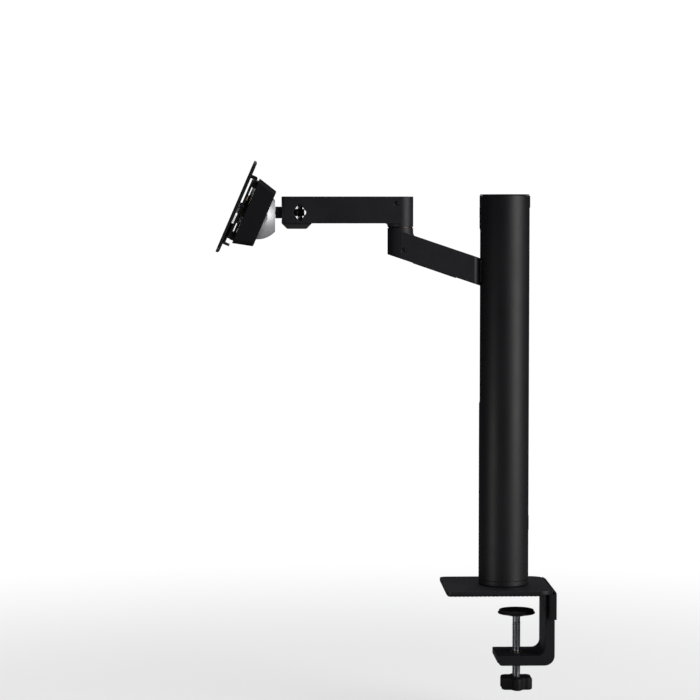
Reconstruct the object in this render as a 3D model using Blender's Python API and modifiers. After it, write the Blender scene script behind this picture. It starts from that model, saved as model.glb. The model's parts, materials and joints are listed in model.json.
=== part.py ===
"""Desk-clamped monitor arm: a pole on a turning base, a carriage that rides up and down in it,
two links, and a tilting, turning head with a display plate.

Metres, +Z up. The origin is on the pole's axis at the height of the desk top, and the arm
reaches towards -Y. Each body hangs on an empty that sits on its joint's axis.
"""

import math

import bmesh
import bpy
from mathutils import Matrix

# Gap between neighbouring pieces.
GAP = 0.0003

# Base, its rear flange and the clamp below the desk.
BASE_HALF = 0.061
BASE_FRONT = -0.073
BASE_REAR = 0.054
PAD_TOP = 0.0012
PLATE_LOW = PAD_TOP + GAP
PLATE_TOP = 0.0063
FLANGE_HALF = 0.050
FLANGE_INNER = 0.051
FLANGE_OUTER = 0.059
FLANGE_LOW = -0.030
DESK_EDGE = 0.047
DESK_THICK = 0.025
JAW_TOP = -0.076
JAW_LOW = -0.088
CLAMP_Y = 0.016
CLAMP_SCREW_R = 0.005
CLAMP_SCREW_END = -0.122

# Pole and what turns on the spigot.
POLE_R = 0.030
POLE_INNER_R = 0.027
POLE_LOW = 0.0069
TUBE_LOW = 0.0131
POLE_TOP = 0.474
SPIGOT_R = 0.018
SPIGOT_TOP = 0.0557
BOLT_R = 0.004
SLOT_HALF = 0.009
SLOT_LOW = 0.225
SLOT_TOP = 0.435

# Carriage, its rods and the counterbalance spring.
ROD_X = 0.013
ROD_Y = -0.007
ROD_R = 0.003
CARRIAGE_LOW = 0.352
CARRIAGE_TOP = 0.410
CARRIAGE_REAR = 0.001
DRUM_Y = 0.014
DRUM_Z = 0.428
NECK_LOW = 0.3713
NECK_TOP = 0.3962
ARM_BOLT_Z = 0.384

# Links. The lower one climbs at SLOPE from the pole to the elbow.
LINK_HALF = 0.0154
ELBOW_Y = -0.125
SLOPE = math.radians(19)
ROOT_LOW = 0.366
ROOT_TOP = 0.399
ROOT_FACE = -0.0315
ROOT_ROUND = 0.007
ELBOW_TOP = 0.4355
UPPER_BOSS_LOW = 0.4367
UPPER_LOW = 0.441
UPPER_TOP = 0.473
UPPER_END = -0.142
PAN_Y = -0.245
POCKET_LOW = 0.4465
POCKET_TOP = 0.4615
NECK_BOLT_Z = 0.454

# Head. S is the distance in front of the ball's centre, along the display's normal.
BALL_Y = -0.2956
BALL_Z = 0.450
BALL_R = 0.028
TILT = math.radians(23.4)
COVER_REAR_S = -0.0093
COVER_FRONT_S = 0.015
COVER_REAR_HALF = 0.03525
COVER_FRONT_HALF = 0.0415
EAR_IN = 0.029
EAR_OUT = 0.0312
WEB_S = (0.0156, 0.0186)
PIVOT_PLATE_S = (0.0202, 0.0227)
PIVOT_PLATE_HALF = 0.038
POST_AT = 0.0335
VESA_S = (0.0258, 0.0288)
VESA_HALF = 0.058
VESA_PITCHES = (0.075, 0.100)


def new_collection(name):
    collection = bpy.data.collections.new(name)
    bpy.context.scene.collection.children.link(collection)
    return collection


def look(name, colour, roughness, metallic=0.0):
    """A plain Principled BSDF."""
    material = bpy.data.materials.new(name)
    material.use_nodes = True
    shader = material.node_tree.nodes["Principled BSDF"]
    shader.inputs["Base Color"].default_value = (*colour, 1.0)
    shader.inputs["Roughness"].default_value = roughness
    shader.inputs["Metallic"].default_value = metallic
    material.diffuse_color = (*colour, 1.0)
    return material


def frame_at(name, location, turn=0.0):
    """An empty on a joint's axis, turned about X."""
    empty = bpy.data.objects.new(name, None)
    empty.empty_display_size = 0.02
    empty.location = location
    empty.rotation_euler = (turn, 0.0, 0.0)
    PARTS.objects.link(empty)
    return empty


def piece(name, bm, finish=None, frame=None):
    """Makes an object from a bmesh. Without a finish it is a cutter."""
    mesh = bpy.data.meshes.new(name)
    bmesh.ops.recalc_face_normals(bm, faces=bm.faces)
    bm.to_mesh(mesh)
    bm.free()
    return enter(bpy.data.objects.new(name, mesh), finish, frame)


def enter(obj, finish, frame):
    obj.parent = frame
    if finish is None:
        obj.hide_render = True
        obj.display_type = "WIRE"
        CUTTERS.objects.link(obj)
        return obj
    obj.data.materials.append(finish)
    obj.data.shade_smooth()
    obj.data.set_sharp_from_angle(angle=math.radians(35))
    PARTS.objects.link(obj)
    return obj


def add_bar(bm, low, high):
    """A box between two corners."""
    size = [b - a for a, b in zip(low, high)]
    middle = [(a + b) / 2 for a, b in zip(low, high)]
    place = Matrix.Translation(middle) @ Matrix.Diagonal((*size, 1.0))
    bmesh.ops.create_cube(bm, size=1.0, matrix=place)


def bar(name, low, high, finish=None, frame=None):
    bm = bmesh.new()
    add_bar(bm, low, high)
    return piece(name, bm, finish, frame)


def along(axis, at=(0, 0, 0)):
    """A matrix that lays a turned shape's own Z along a named axis."""
    turns = {
        "Z": Matrix(),
        "-Z": Matrix.Rotation(math.pi, 4, "X"),
        "X": Matrix.Rotation(math.pi / 2, 4, "Y"),
        "-X": Matrix.Rotation(-math.pi / 2, 4, "Y"),
        "-Y": Matrix.Rotation(math.pi / 2, 4, "X"),
        "Y": Matrix.Rotation(-math.pi / 2, 4, "X"),
    }
    return Matrix.Translation(at) @ turns[axis]


def add_turned(bm, profile, place=None, steps=24):
    """Turns (radius, height) points about Z. A profile that starts off the axis closes into a ring."""
    turned = bmesh.new()
    points = [turned.verts.new((radius, 0.0, height)) for radius, height in profile]
    edges = [turned.edges.new(pair) for pair in zip(points, points[1:])]
    if profile[0][0] > 0:
        edges.append(turned.edges.new((points[-1], points[0])))
    bmesh.ops.spin(
        turned, geom=points + edges, axis=(0, 0, 1), cent=(0, 0, 0),
        angle=2 * math.pi, steps=steps, use_merge=True,
    )
    bmesh.ops.remove_doubles(turned, verts=turned.verts, dist=1e-6)
    if place is not None:
        bmesh.ops.transform(turned, matrix=place, verts=turned.verts)
    scratch = bpy.data.meshes.new("scratch")
    turned.to_mesh(scratch)
    turned.free()
    bm.from_mesh(scratch)
    bpy.data.meshes.remove(scratch)


def turned(name, profile, finish=None, frame=None, places=(None,), steps=24):
    bm = bmesh.new()
    for place in places:
        add_turned(bm, profile, place, steps)
    return piece(name, bm, finish, frame)


def hex_nut(name, radius, bore, low, high, frame, places):
    nut = turned(name, disc(radius, low, high), STEEL, frame, places, 6)
    nut.data.shade_flat()
    margin = 0.001
    cut(nut, turned(f"{name}_bore", disc(bore, low - margin, high + margin), None, frame, places, 20))


def disc(radius, low, high):
    """The profile of a plain disc or rod."""
    return [(0, low), (radius, low), (radius, high), (0, high)]


def ring(inner, outer, low, high):
    """The profile of a washer, bush or tube."""
    return [(inner, low), (outer, low), (outer, high), (inner, high)]


def screw(head_r, head, shank_r, length):
    """A screw's profile: its head starts at the origin and its shank runs along +Z."""
    return [(0, 0), (head_r, 0), (head_r, head), (shank_r, head), (shank_r, length), (0, length)]


def arc(centre, radius, start, end, steps=8):
    """Points on an arc, with angles in degrees."""
    angles = [math.radians(start + (end - start) * i / steps) for i in range(steps + 1)]
    return [(centre[0] + radius * math.cos(a), centre[1] + radius * math.sin(a)) for a in angles]


def rounded(low, high, radii, steps=6):
    """A rectangle's outline. Its radii run anticlockwise from the low corner."""
    corners = [(low[0], low[1]), (high[0], low[1]), (high[0], high[1]), (low[0], high[1])]
    inward = [(1, 1), (-1, 1), (-1, -1), (1, -1)]
    points = []
    for i, (corner, way, radius) in enumerate(zip(corners, inward, radii)):
        centre = [c + w * radius for c, w in zip(corner, way)]
        points += arc(centre, radius, 180 + 90 * i, 270 + 90 * i, steps)
    return points


def plate(name, outline, low, high, finish=None, frame=None, place=None, soft=0.0):
    """A flat outline between two heights: a filled curve made into a closed mesh."""
    curve = bpy.data.curves.new(name, "CURVE")
    curve.dimensions = "2D"
    curve.fill_mode = "BOTH"
    curve.extrude = (high - low) / 2
    spline = curve.splines.new("POLY")
    spline.points.add(len(outline) - 1)
    for point, (x, y) in zip(spline.points, outline):
        point.co = (x, y, 0, 1)
    spline.use_cyclic_u = True
    drawn = bpy.data.objects.new(name, curve)
    bpy.context.scene.collection.objects.link(drawn)
    bpy.context.view_layer.update()
    graph = bpy.context.evaluated_depsgraph_get()
    flat = bpy.data.meshes.new_from_object(drawn.evaluated_get(graph))
    bpy.data.objects.remove(drawn)
    bm = bmesh.new()
    bm.from_mesh(flat)
    bpy.data.meshes.remove(flat)
    bmesh.ops.remove_doubles(bm, verts=bm.verts, dist=1e-6)
    lift = Matrix.Translation((0, 0, (low + high) / 2))
    bmesh.ops.transform(bm, matrix=(place or Matrix()) @ lift, verts=bm.verts)
    obj = piece(name, bm, finish, frame)
    if soft:
        soften(obj, soft)
    return obj


def soften(obj, width, segments=1):
    bevel = obj.modifiers.new("soft_edges", "BEVEL")
    bevel.width = width
    bevel.segments = segments
    bevel.limit_method = "ANGLE"
    bevel.angle_limit = math.radians(50)


def boolean(obj, operation, others):
    for other in others:
        step = obj.modifiers.new(f"{operation.lower()}_{other.name}", "BOOLEAN")
        step.operation = operation
        step.object = other
        step.solver = "EXACT"


def cut(obj, *others):
    boolean(obj, "DIFFERENCE", others)


def fuse(obj, *others):
    boolean(obj, "UNION", others)


def keep_inside(obj, *others):
    boolean(obj, "INTERSECT", others)


# Stands an XY outline up in the YZ plane, so its thickness runs along X.
SIDE = Matrix(((0, 0, 1, 0), (1, 0, 0, 0), (0, 1, 0, 0), (0, 0, 0, 1)))
# Lays an XY outline in the frame's XZ plane, so its thickness runs along -Y, the way a head faces.
FACE = Matrix.Rotation(math.pi / 2, 4, "X")


SIDES = ("left", "right")
ROD_PLACES = [along("Z", (x, ROD_Y, 0)) for x in (-ROD_X, ROD_X)]


def build_base():
    """The base stands on the desk. Its flange turns down behind the desk's edge."""
    radii = (0.008, 0.008, 0.016, 0.016)
    inset = 0.0015
    plate(
        "base_pad",
        rounded((-BASE_HALF + inset, BASE_FRONT + inset), (BASE_HALF - inset, DESK_EDGE - 0.002),
                (0.007, 0.007, 0.010, 0.010), 4),
        0, PAD_TOP, RUBBER,
    )
    base = plate(
        "base_plate", rounded((-BASE_HALF, BASE_FRONT), (BASE_HALF, BASE_REAR), radii, 6),
        PLATE_LOW, PLATE_TOP, BLACK, soft=0.0006,
    )
    shy = 0.00002
    bend = 0.006
    profile = [(DESK_EDGE - 0.003, PLATE_LOW + shy), (FLANGE_INNER, PLATE_LOW + shy)]
    profile += [(FLANGE_INNER, FLANGE_LOW), (FLANGE_OUTER, FLANGE_LOW)]
    profile += arc((FLANGE_OUTER - bend, PLATE_TOP - shy - bend), bend, 0, 90, 6)
    profile += [(DESK_EDGE - 0.003, PLATE_TOP - shy)]
    flange = plate("flange", profile, -FLANGE_HALF, FLANGE_HALF, place=SIDE)
    bolt_at = {"left": (-0.020, -0.016), "right": (0.020, -0.016)}
    bolt_holes = turned(
        "bolt_holes", screw(0.0053, 0.0043, 0.0033, 0.0095),
        places=[along("-Y", (x, FLANGE_OUTER + GAP, z)) for x, z in bolt_at.values()], steps=16,
    )
    spigot_hole = turned("spigot_bolt_hole", disc(BOLT_R + GAP, 0, 0.008), steps=20)
    fuse(base, flange)
    cut(base, bolt_holes, spigot_hole)

    bracket = plate("clamp_bracket", bracket_outline(), -0.032, 0.032, BLACK, place=SIDE)
    soften(bracket, 0.0008)
    wall_holes = turned(
        "wall_holes", disc(0.0033, 0, 0.006),
        places=[along("-Y", (x, FLANGE_INNER + 0.001, z)) for x, z in bolt_at.values()], steps=16,
    )
    nut_hole = turned("nut_hole", disc(0.0078, JAW_LOW - 0.004, JAW_TOP + 0.004),
                      places=[along("Z", (0, CLAMP_Y, 0))])
    cut(bracket, wall_holes, nut_hole)
    for side, (x, z) in bolt_at.items():
        turned(f"bracket_bolt_{side}", screw(0.0050, 0.0040, 0.0030, 0.0112), STEEL,
               places=[along("-Y", (x, FLANGE_OUTER, z))], steps=16)
    insert = [(CLAMP_SCREW_R + GAP, JAW_LOW - 0.002), (0.0105, JAW_LOW - 0.002)]
    insert += [(0.0105, JAW_LOW - GAP), (0.0075, JAW_LOW - GAP)]
    insert += [(0.0075, JAW_TOP), (CLAMP_SCREW_R + GAP, JAW_TOP)]
    turned("clamp_nut", insert, BRASS, places=[along("Z", (0, CLAMP_Y, 0))])


def bracket_outline():
    """The C bracket in side view: a thin wall up inside the flange, a thick wall and a jaw below it."""
    tip = -0.010
    inner, outer = DESK_EDGE + GAP, FLANGE_INNER - GAP
    step = FLANGE_LOW - GAP
    outline = [(inner, -0.002), (inner, JAW_TOP + 0.010)]
    outline += arc((inner - 0.010, JAW_TOP + 0.010), 0.010, 0, -90, 5)[1:]
    outline += [(tip, JAW_TOP), (tip, JAW_TOP - 0.008), (tip + 0.006, JAW_LOW)]
    outline += arc((FLANGE_OUTER - 0.012, JAW_LOW + 0.012), 0.012, -90, 0, 5)
    outline += [(FLANGE_OUTER, step - 0.003), (FLANGE_OUTER - 0.003, step), (outer, step)]
    outline += [(outer, -0.002)]
    return outline[::-1]


def build_spigot():
    """The post that the pole turns on. One bolt runs down through it into the base plate."""
    low = PLATE_TOP + GAP
    bore = BOLT_R + GAP
    profile = [(bore, low), (0.0248, low), (0.0248, 0.0125), (SPIGOT_R, 0.0125)]
    profile += [(SPIGOT_R, SPIGOT_TOP), (bore, SPIGOT_TOP)]
    turned("spigot", profile, STEEL, steps=28)
    # The bolt's wide flange keeps the pole from lifting off the post.
    flange_low, flange_top = SPIGOT_TOP + GAP, 0.0617
    bolt = [(0, PLATE_LOW + 0.0005), (BOLT_R, PLATE_LOW + 0.0005), (BOLT_R, flange_low)]
    bolt += [(0.0220, flange_low), (0.0220, flange_top), (0.0065, flange_top), (0.0065, 0.0680), (0, 0.0680)]
    turned("spigot_bolt", bolt, STEEL, steps=20)


def shell_patch(name, inner, outer, half, low, high, side, finish, frame):
    """A piece of a tube's wall that faces front (-1) or rear (+1)."""
    patch = turned(name, ring(inner, outer, low, high), finish, frame, steps=64)
    near, far = sorted((side * 0.005, side * 0.05))
    window = bar(f"{name}_window", (-half, near, low - 0.01), (half, far, high + 0.01), frame=frame)
    keep_inside(patch, window)
    return patch


def build_pole():
    """An extruded tube with a slot for the carriage, open at the rear low down for the cable port."""
    tube = turned("pole_tube", ring(POLE_INNER_R, POLE_R, TUBE_LOW, POLE_TOP), BLACK, POLE, steps=64)
    front, rear = -0.05, 0.05
    slot_outline = rounded((-SLOT_HALF, SLOT_LOW), (SLOT_HALF, SLOT_TOP), (0.004,) * 4, 4)
    slot = plate("pole_slot", slot_outline, 0.005, -front, frame=POLE, place=FACE)
    plug_hole = bar("plug_hole", (-0.007, front, 0.447), (0.007, -0.005, 0.461), frame=POLE)
    port_hole = bar("port_hole", (-0.012, 0.005, 0.072), (0.012, rear, 0.090), frame=POLE)
    tab_hole = bar("tab_hole", (-0.006, 0.005, 0.459), (0.006, rear, 0.480), frame=POLE)
    cut(tube, slot, plug_hole, port_hole, tab_hole)
    turned("pole_foot", ring(0.0252, POLE_R, POLE_LOW, TUBE_LOW - GAP), BLACK, POLE, steps=64)
    cap_r = POLE_R - 0.0002
    cap = [(0, 0.4757), (cap_r - 0.0006, 0.4757), (cap_r, 0.4750), (cap_r, POLE_TOP + GAP)]
    cap += [(0.0262, POLE_TOP + GAP), (0.0262, 0.4665), (0.0242, 0.4665), (0.0242, 0.4742), (0, 0.4742)]
    turned("pole_cap", cap[::-1], PLASTIC, POLE, steps=48)
    shell_patch("cap_tab", POLE_INNER_R - 0.0001, POLE_R + 0.0006, 0.0056, 0.4594, 0.4738, 1, PLASTIC, POLE)
    shell_patch("slot_plug", POLE_INNER_R, POLE_R + 0.0001, 0.0066, 0.4474, 0.4606, -1, PLASTIC, POLE)
    shell_patch("port_cover", POLE_INNER_R, POLE_R + GAP, 0.0116, 0.0724, 0.0896, 1, PLASTIC, POLE)
    for name, low, high in (("lower", 0.0134, 0.0250), ("upper", 0.0440, SPIGOT_TOP)):
        turned(f"swivel_bush_{name}", ring(SPIGOT_R + GAP, POLE_INNER_R - GAP, low, high),
               NYLON, POLE, steps=24)
    rod_holes = turned("rod_holes", disc(ROD_R + GAP, 0.2, 0.46), frame=POLE, places=ROD_PLACES, steps=16)
    for name, low, high in (("top", 0.447, 0.455), ("bottom", 0.205, 0.213)):
        holder = turned(f"rail_holder_{name}", ring(0.0035, POLE_INNER_R - GAP, low, high),
                        NYLON, POLE, steps=24)
        cut(holder, rod_holes)
    for side, place in zip(SIDES, ROD_PLACES):
        turned(f"guide_rod_{side}", disc(ROD_R, 0.206, 0.454), STEEL, POLE, [place], 16)


def build_spring():
    """A constant-force spring wound on a drum behind the slot's top. It carries the arm's weight."""
    top = 0.447 - GAP
    leg = 0.0105
    wall = 0.0018
    u_shape = [(-leg, 0.420), (-leg + wall, 0.420), (-leg + wall, top - wall), (leg - wall, top - wall)]
    u_shape += [(leg - wall, 0.420), (leg, 0.420), (leg, top), (-leg, top)]
    bracket = plate("drum_bracket", u_shape, -0.021, -0.007, STEEL, POLE, FACE)
    pin = turned("drum_pin", disc(0.0025, -0.0120, 0.0120), frame=POLE,
                 places=[along("X", (0, DRUM_Y, DRUM_Z))], steps=16)
    fuse(bracket, pin)
    at_drum = [along("X")]
    half, flange = 0.0083, 0.0009
    spool = [(0.0028, -half), (0.0100, -half), (0.0100, -half + flange), (0.0062, -half + flange)]
    spool += [(0.0062, half - flange), (0.0100, half - flange), (0.0100, half), (0.0028, half)]
    turned("spring_drum", spool, NYLON, DRUM, at_drum, 16)
    turned("spring_coil", ring(0.0065, 0.0093, -0.0070, 0.0070), SPRING_STEEL, DRUM, at_drum, 16)
    strip_y = DRUM_Y - 0.0100
    bar("spring_strip", (-0.0065, strip_y - 0.0004, 0.3590), (0.0065, strip_y, DRUM_Z),
        SPRING_STEEL, CARRIAGE)


def build_carriage():
    """The block that rides on the two rods, with a neck that reaches out through the slot."""
    half, front = 0.0200, -0.0160
    block = bar("carriage", (-half, front, CARRIAGE_LOW), (half, CARRIAGE_REAR, CARRIAGE_TOP),
                ALLOY, CARRIAGE)
    soften(block, 0.0008)
    neck = bar("carriage_neck", (-0.0070, -0.0370, NECK_LOW), (0.0070, front + 0.004, NECK_TOP),
               frame=CARRIAGE)
    glide_holes = turned(
        "glide_holes", disc(0.0048, CARRIAGE_LOW - 0.001, CARRIAGE_TOP + 0.001), frame=CARRIAGE,
        places=ROD_PLACES, steps=20,
    )
    bolt_hole = turned("arm_bolt_hole", screw(0.0055, 0.0046, 0.0033, 0.0460), frame=CARRIAGE,
                       places=[along("-Y", (0, CARRIAGE_REAR + 0.0006, ARM_BOLT_Z))], steps=16)
    fuse(block, neck)
    cut(block, glide_holes, bolt_hole)
    collar, collar_low = 0.0062, CARRIAGE_LOW - GAP
    glide = [(ROD_R + GAP, collar_low - 0.0012), (collar, collar_low - 0.0012), (collar, collar_low)]
    glide += [(0.0045, collar_low), (0.0045, CARRIAGE_TOP), (ROD_R + GAP, CARRIAGE_TOP)]
    for side, place in zip(SIDES, ROD_PLACES):
        turned(f"carriage_glide_{side}", glide, NYLON, CARRIAGE, [place], 20)
    turned("arm_bolt", screw(0.0052, 0.0040, 0.0030, 0.0525), STEEL, CARRIAGE,
           [along("-Y", (0, CARRIAGE_REAR, ARM_BOLT_Z))], 16)


def link_outline(root, round_y, half):
    """A link seen from above: rounded corners by the pole and a round end about its elbow."""
    inner, turn_y = half - ROOT_ROUND, ROOT_FACE - ROOT_ROUND
    outline = [(inner, root)] + arc((inner, turn_y), ROOT_ROUND, 90, 0, 5)
    outline += arc((0, round_y), half, 0, -180, 20)
    outline += arc((-inner, turn_y), ROOT_ROUND, 180, 90, 5) + [(-inner, root)]
    return outline[::-1]


def build_lower_link():
    """A cast link that climbs to the elbow, with a round boss there and a saddle at the pole."""
    half, root = LINK_HALF, -0.024
    rise = math.tan(SLOPE)
    far = -0.145
    link = plate("lower_arm", link_outline(root, ELBOW_Y, half), 0.355, ELBOW_TOP, BLACK, CARRIAGE)
    top_at_root = ROOT_TOP + (root + POLE_R) * -rise
    low_at_root = ROOT_LOW + (root + POLE_R) * -rise
    side = [(root + 0.002, low_at_root), (far, low_at_root + (root - far) * rise)]
    side += [(far, top_at_root + (root - far) * rise), (root + 0.002, top_at_root)]
    band = plate("lower_band", side, -0.02, 0.02, frame=CARRIAGE, place=SIDE)
    at_elbow = [along("Z", (0, ELBOW_Y, 0))]
    boss_r, fillet = half - 0.0001, 0.0075
    boss = turned("lower_boss", disc(boss_r, 0.415, ELBOW_TOP), None, CARRIAGE, at_elbow, 40)
    flare = [(0, 0.416), (boss_r + fillet, 0.416)]
    flare += arc((boss_r + fillet, 0.4309), fillet, 270, 188, 6)
    flare += [(boss_r - 0.002, 0.4320), (0, 0.4320)]
    flare = turned("lower_flare", flare, None, CARRIAGE, at_elbow, 36)
    keep_inside(flare, bar("lower_flare_room", (-half + 0.0003, ELBOW_Y, 0.41), (half - 0.0003, -0.09, 0.44),
                           frame=CARRIAGE))
    saddle = turned("saddle", disc(POLE_R + 0.0008, 0.34, 0.44), frame=CARRIAGE, steps=64)
    pocket = bar("neck_pocket", (-0.0073, -0.0373, NECK_LOW - GAP), (0.0073, -0.020, NECK_TOP + GAP),
                 frame=CARRIAGE)
    bolt_hole = turned("lower_bolt_hole", disc(0.0033, 0.03, 0.0530), frame=CARRIAGE,
                       places=[along("-Y", (0, 0, ARM_BOLT_Z))], steps=16)
    pin_hole = turned("elbow_hole", [(r, z + 0.380) for r, z in screw(0.0084, 0.025, 0.0063, 0.060)],
                      frame=CARRIAGE, places=at_elbow, steps=24)
    set_hole = turned("lower_set_hole", disc(0.0028, 0, 0.006), frame=CARRIAGE,
                      places=[along("X", (half - 0.005, -0.1216, 0.409))], steps=16)
    trough = bar("lower_trough", (-0.009, -0.078, -0.0175), (0.009, -0.024, -0.0103), frame=SLOPED)
    keep_inside(link, band)
    fuse(link, boss, flare)
    cut(link, saddle, pocket, bolt_hole, pin_hole, set_hole, trough)
    under = (ROOT_TOP - ROOT_LOW) / 2 * math.cos(SLOPE)
    bar("lower_arm_cover", (-0.0087, -0.0777, -under), (0.0087, -0.0243, -under + 0.002),
        PLASTIC, SLOPED)
    turned("lower_set_screw", disc(0.0025, 0, 0.0042), STEEL, CARRIAGE,
           [along("X", (half - 0.0046, -0.1216, 0.409))], 16)


def build_elbow():
    """A shoulder pin from below, a washer between the links and a nut under the upper link's cap."""
    at_elbow = [along("Z", (0, ELBOW_Y, 0))]
    pin = [(0, 0.4015), (0.0080, 0.4015), (0.0080, 0.4047), (0.0060, 0.4047), (0.0060, 0.4640), (0, 0.4640)]
    turned("elbow_pin", pin, STEEL, CARRIAGE, at_elbow, 24)
    turned("elbow_washer", ring(0.0063, 0.0140, ELBOW_TOP + GAP, UPPER_BOSS_LOW - GAP), BRASS, CARRIAGE,
           at_elbow, 32)
    hex_nut("elbow_nut", 0.0095, 0.0063, 0.4556, 0.4620, CARRIAGE, at_elbow)
    at_zero = [along("Z", (0, 0, 0))]
    turned("elbow_bush", ring(0.0063, 0.0085, UPPER_BOSS_LOW + GAP, 0.4550), NYLON, ELBOW, at_zero, 24)
    turned("elbow_cap", disc(0.0101, 0.4700, UPPER_TOP - 0.0002), PLASTIC, ELBOW, at_zero, 32)


def build_upper_link():
    """A level cast link with a boss below its round end and a pocket for the neck in its square end."""
    half = LINK_HALF
    end = UPPER_END
    pan = PAN_Y - ELBOW_Y
    outline = rounded((-half, end), (half, 0), (0.0035, 0.0035, 0, 0), 4)[:10]
    outline += arc((0, 0), half, 0, 180, 20)
    link = plate("upper_arm", outline, UPPER_LOW, UPPER_TOP, BLACK, ELBOW)
    boss_r, fillet = half - 0.0001, 0.0040
    inner_low = UPPER_BOSS_LOW + 0.0006
    boss = turned("upper_boss", disc(boss_r, UPPER_BOSS_LOW, UPPER_LOW + 0.004), frame=ELBOW, steps=40)
    flare = [(0, inner_low), (boss_r - 0.001, inner_low)]
    flare += arc((boss_r + fillet, UPPER_LOW - fillet + 0.0003), fillet, 170, 90, 4)
    flare += [(boss_r + fillet, UPPER_LOW + 0.003), (0, UPPER_LOW + 0.003)]
    flare = turned("upper_flare", flare, frame=ELBOW, steps=36)
    keep_inside(flare, bar("upper_flare_room", (-half + 0.0003, -0.04, 0.43), (half - 0.0003, 0, 0.45),
                           frame=ELBOW))
    bore = turned("upper_bore", disc(0.0088, 0.43, 0.46), frame=ELBOW)
    well = turned("upper_well", disc(0.0104, 0.4552, 0.48), frame=ELBOW, steps=32)
    mouth, back = 0.0136, 0.0112
    pocket_plan = [(-back, pan + 0.012), (back, pan + 0.012), (mouth, end - 0.002), (-mouth, end - 0.002)]
    pocket = plate("neck_room", pocket_plan[::-1], POCKET_LOW, POCKET_TOP, frame=ELBOW)
    window_y, window_z = pan - 0.0005, 0.454
    diamond = [(window_y - 0.008, window_z - 0.001), (window_y - 0.001, window_z - 0.010)]
    diamond += [(window_y + 0.001, window_z - 0.010), (window_y + 0.008, window_z - 0.001)]
    diamond += [(window_y + 0.008, window_z + 0.001), (window_y + 0.001, window_z + 0.010)]
    diamond += [(window_y - 0.001, window_z + 0.010), (window_y - 0.008, window_z + 0.001)]
    window = plate("side_window", diamond, -0.02, 0.02, frame=ELBOW, place=SIDE)
    pin_hole = turned("pan_hole", disc(0.0033, 0.43, 0.4700), frame=ELBOW,
                      places=[along("Z", (0, pan, 0))], steps=16)
    set_hole = turned("upper_set_hole", disc(0.0028, 0, 0.006), frame=ELBOW,
                      places=[along("X", (half - 0.0035, -0.0056, 0.465))], steps=16)
    trough = bar("upper_trough", (-0.010, -0.098, 0.438), (0.010, -0.024, 0.4464), frame=ELBOW)
    fuse(link, boss, flare)
    cut(link, bore, well, pocket, window, pin_hole, set_hole, trough)
    bar("upper_arm_cover", (-0.0097, -0.0977, UPPER_LOW), (0.0097, -0.0243, 0.4430), PLASTIC, ELBOW)
    turned("upper_set_screw", disc(0.0025, 0, 0.0028), STEEL, ELBOW,
           [along("X", (half - 0.0031, -0.0056, 0.465))], 16)


def build_pan_joint():
    """The neck's pin through the upper link, with its head in a housing below."""
    pan = PAN_Y - ELBOW_Y
    at_pan = [along("Z", (0, pan, 0))]
    pin = [(0, 0.4370), (0.0060, 0.4370), (0.0060, UPPER_LOW - GAP), (0.0030, UPPER_LOW - GAP)]
    pin += [(0.0030, 0.4695), (0, 0.4695)]
    turned("pan_pin", pin, STEEL, ELBOW, at_pan, 20)
    low, high = 0.4345, UPPER_LOW - GAP
    slant = high - low
    back = UPPER_END + 0.036
    outline = [(UPPER_END + slant, low), (back - slant, low), (back, high), (UPPER_END, high)]
    cover = plate("pan_cover", outline, -0.0125, 0.0125, GREY, ELBOW, SIDE)
    head_room = turned("pan_head_room", disc(0.0066, 0.4365, 0.445), frame=ELBOW, places=at_pan, steps=24)
    cut(cover, head_room)


def build_neck():
    """The steel neck swings on the pan pin and carries the ball housing."""
    knuckle = turned("neck", ring(0.0033, 0.0053, 0.4498, 0.4582), BLACK, PAN, steps=24)
    tongue = bar("neck_tongue", (-0.0033, -0.016, 0.44982), (0.0033, -0.0042, 0.45818), frame=PAN)
    blade = bar("neck_blade", (-0.0034, -0.0295, 0.4470), (0.0034, -0.0125, 0.4610), frame=PAN)
    bolt_hole = turned("neck_bolt_hole", disc(0.0023, 0.0180, 0.0310), frame=PAN,
                       places=[along("-Y", (0, 0, NECK_BOLT_Z))], steps=12)
    fuse(knuckle, tongue, blade)
    cut(knuckle, bolt_hole)


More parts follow.
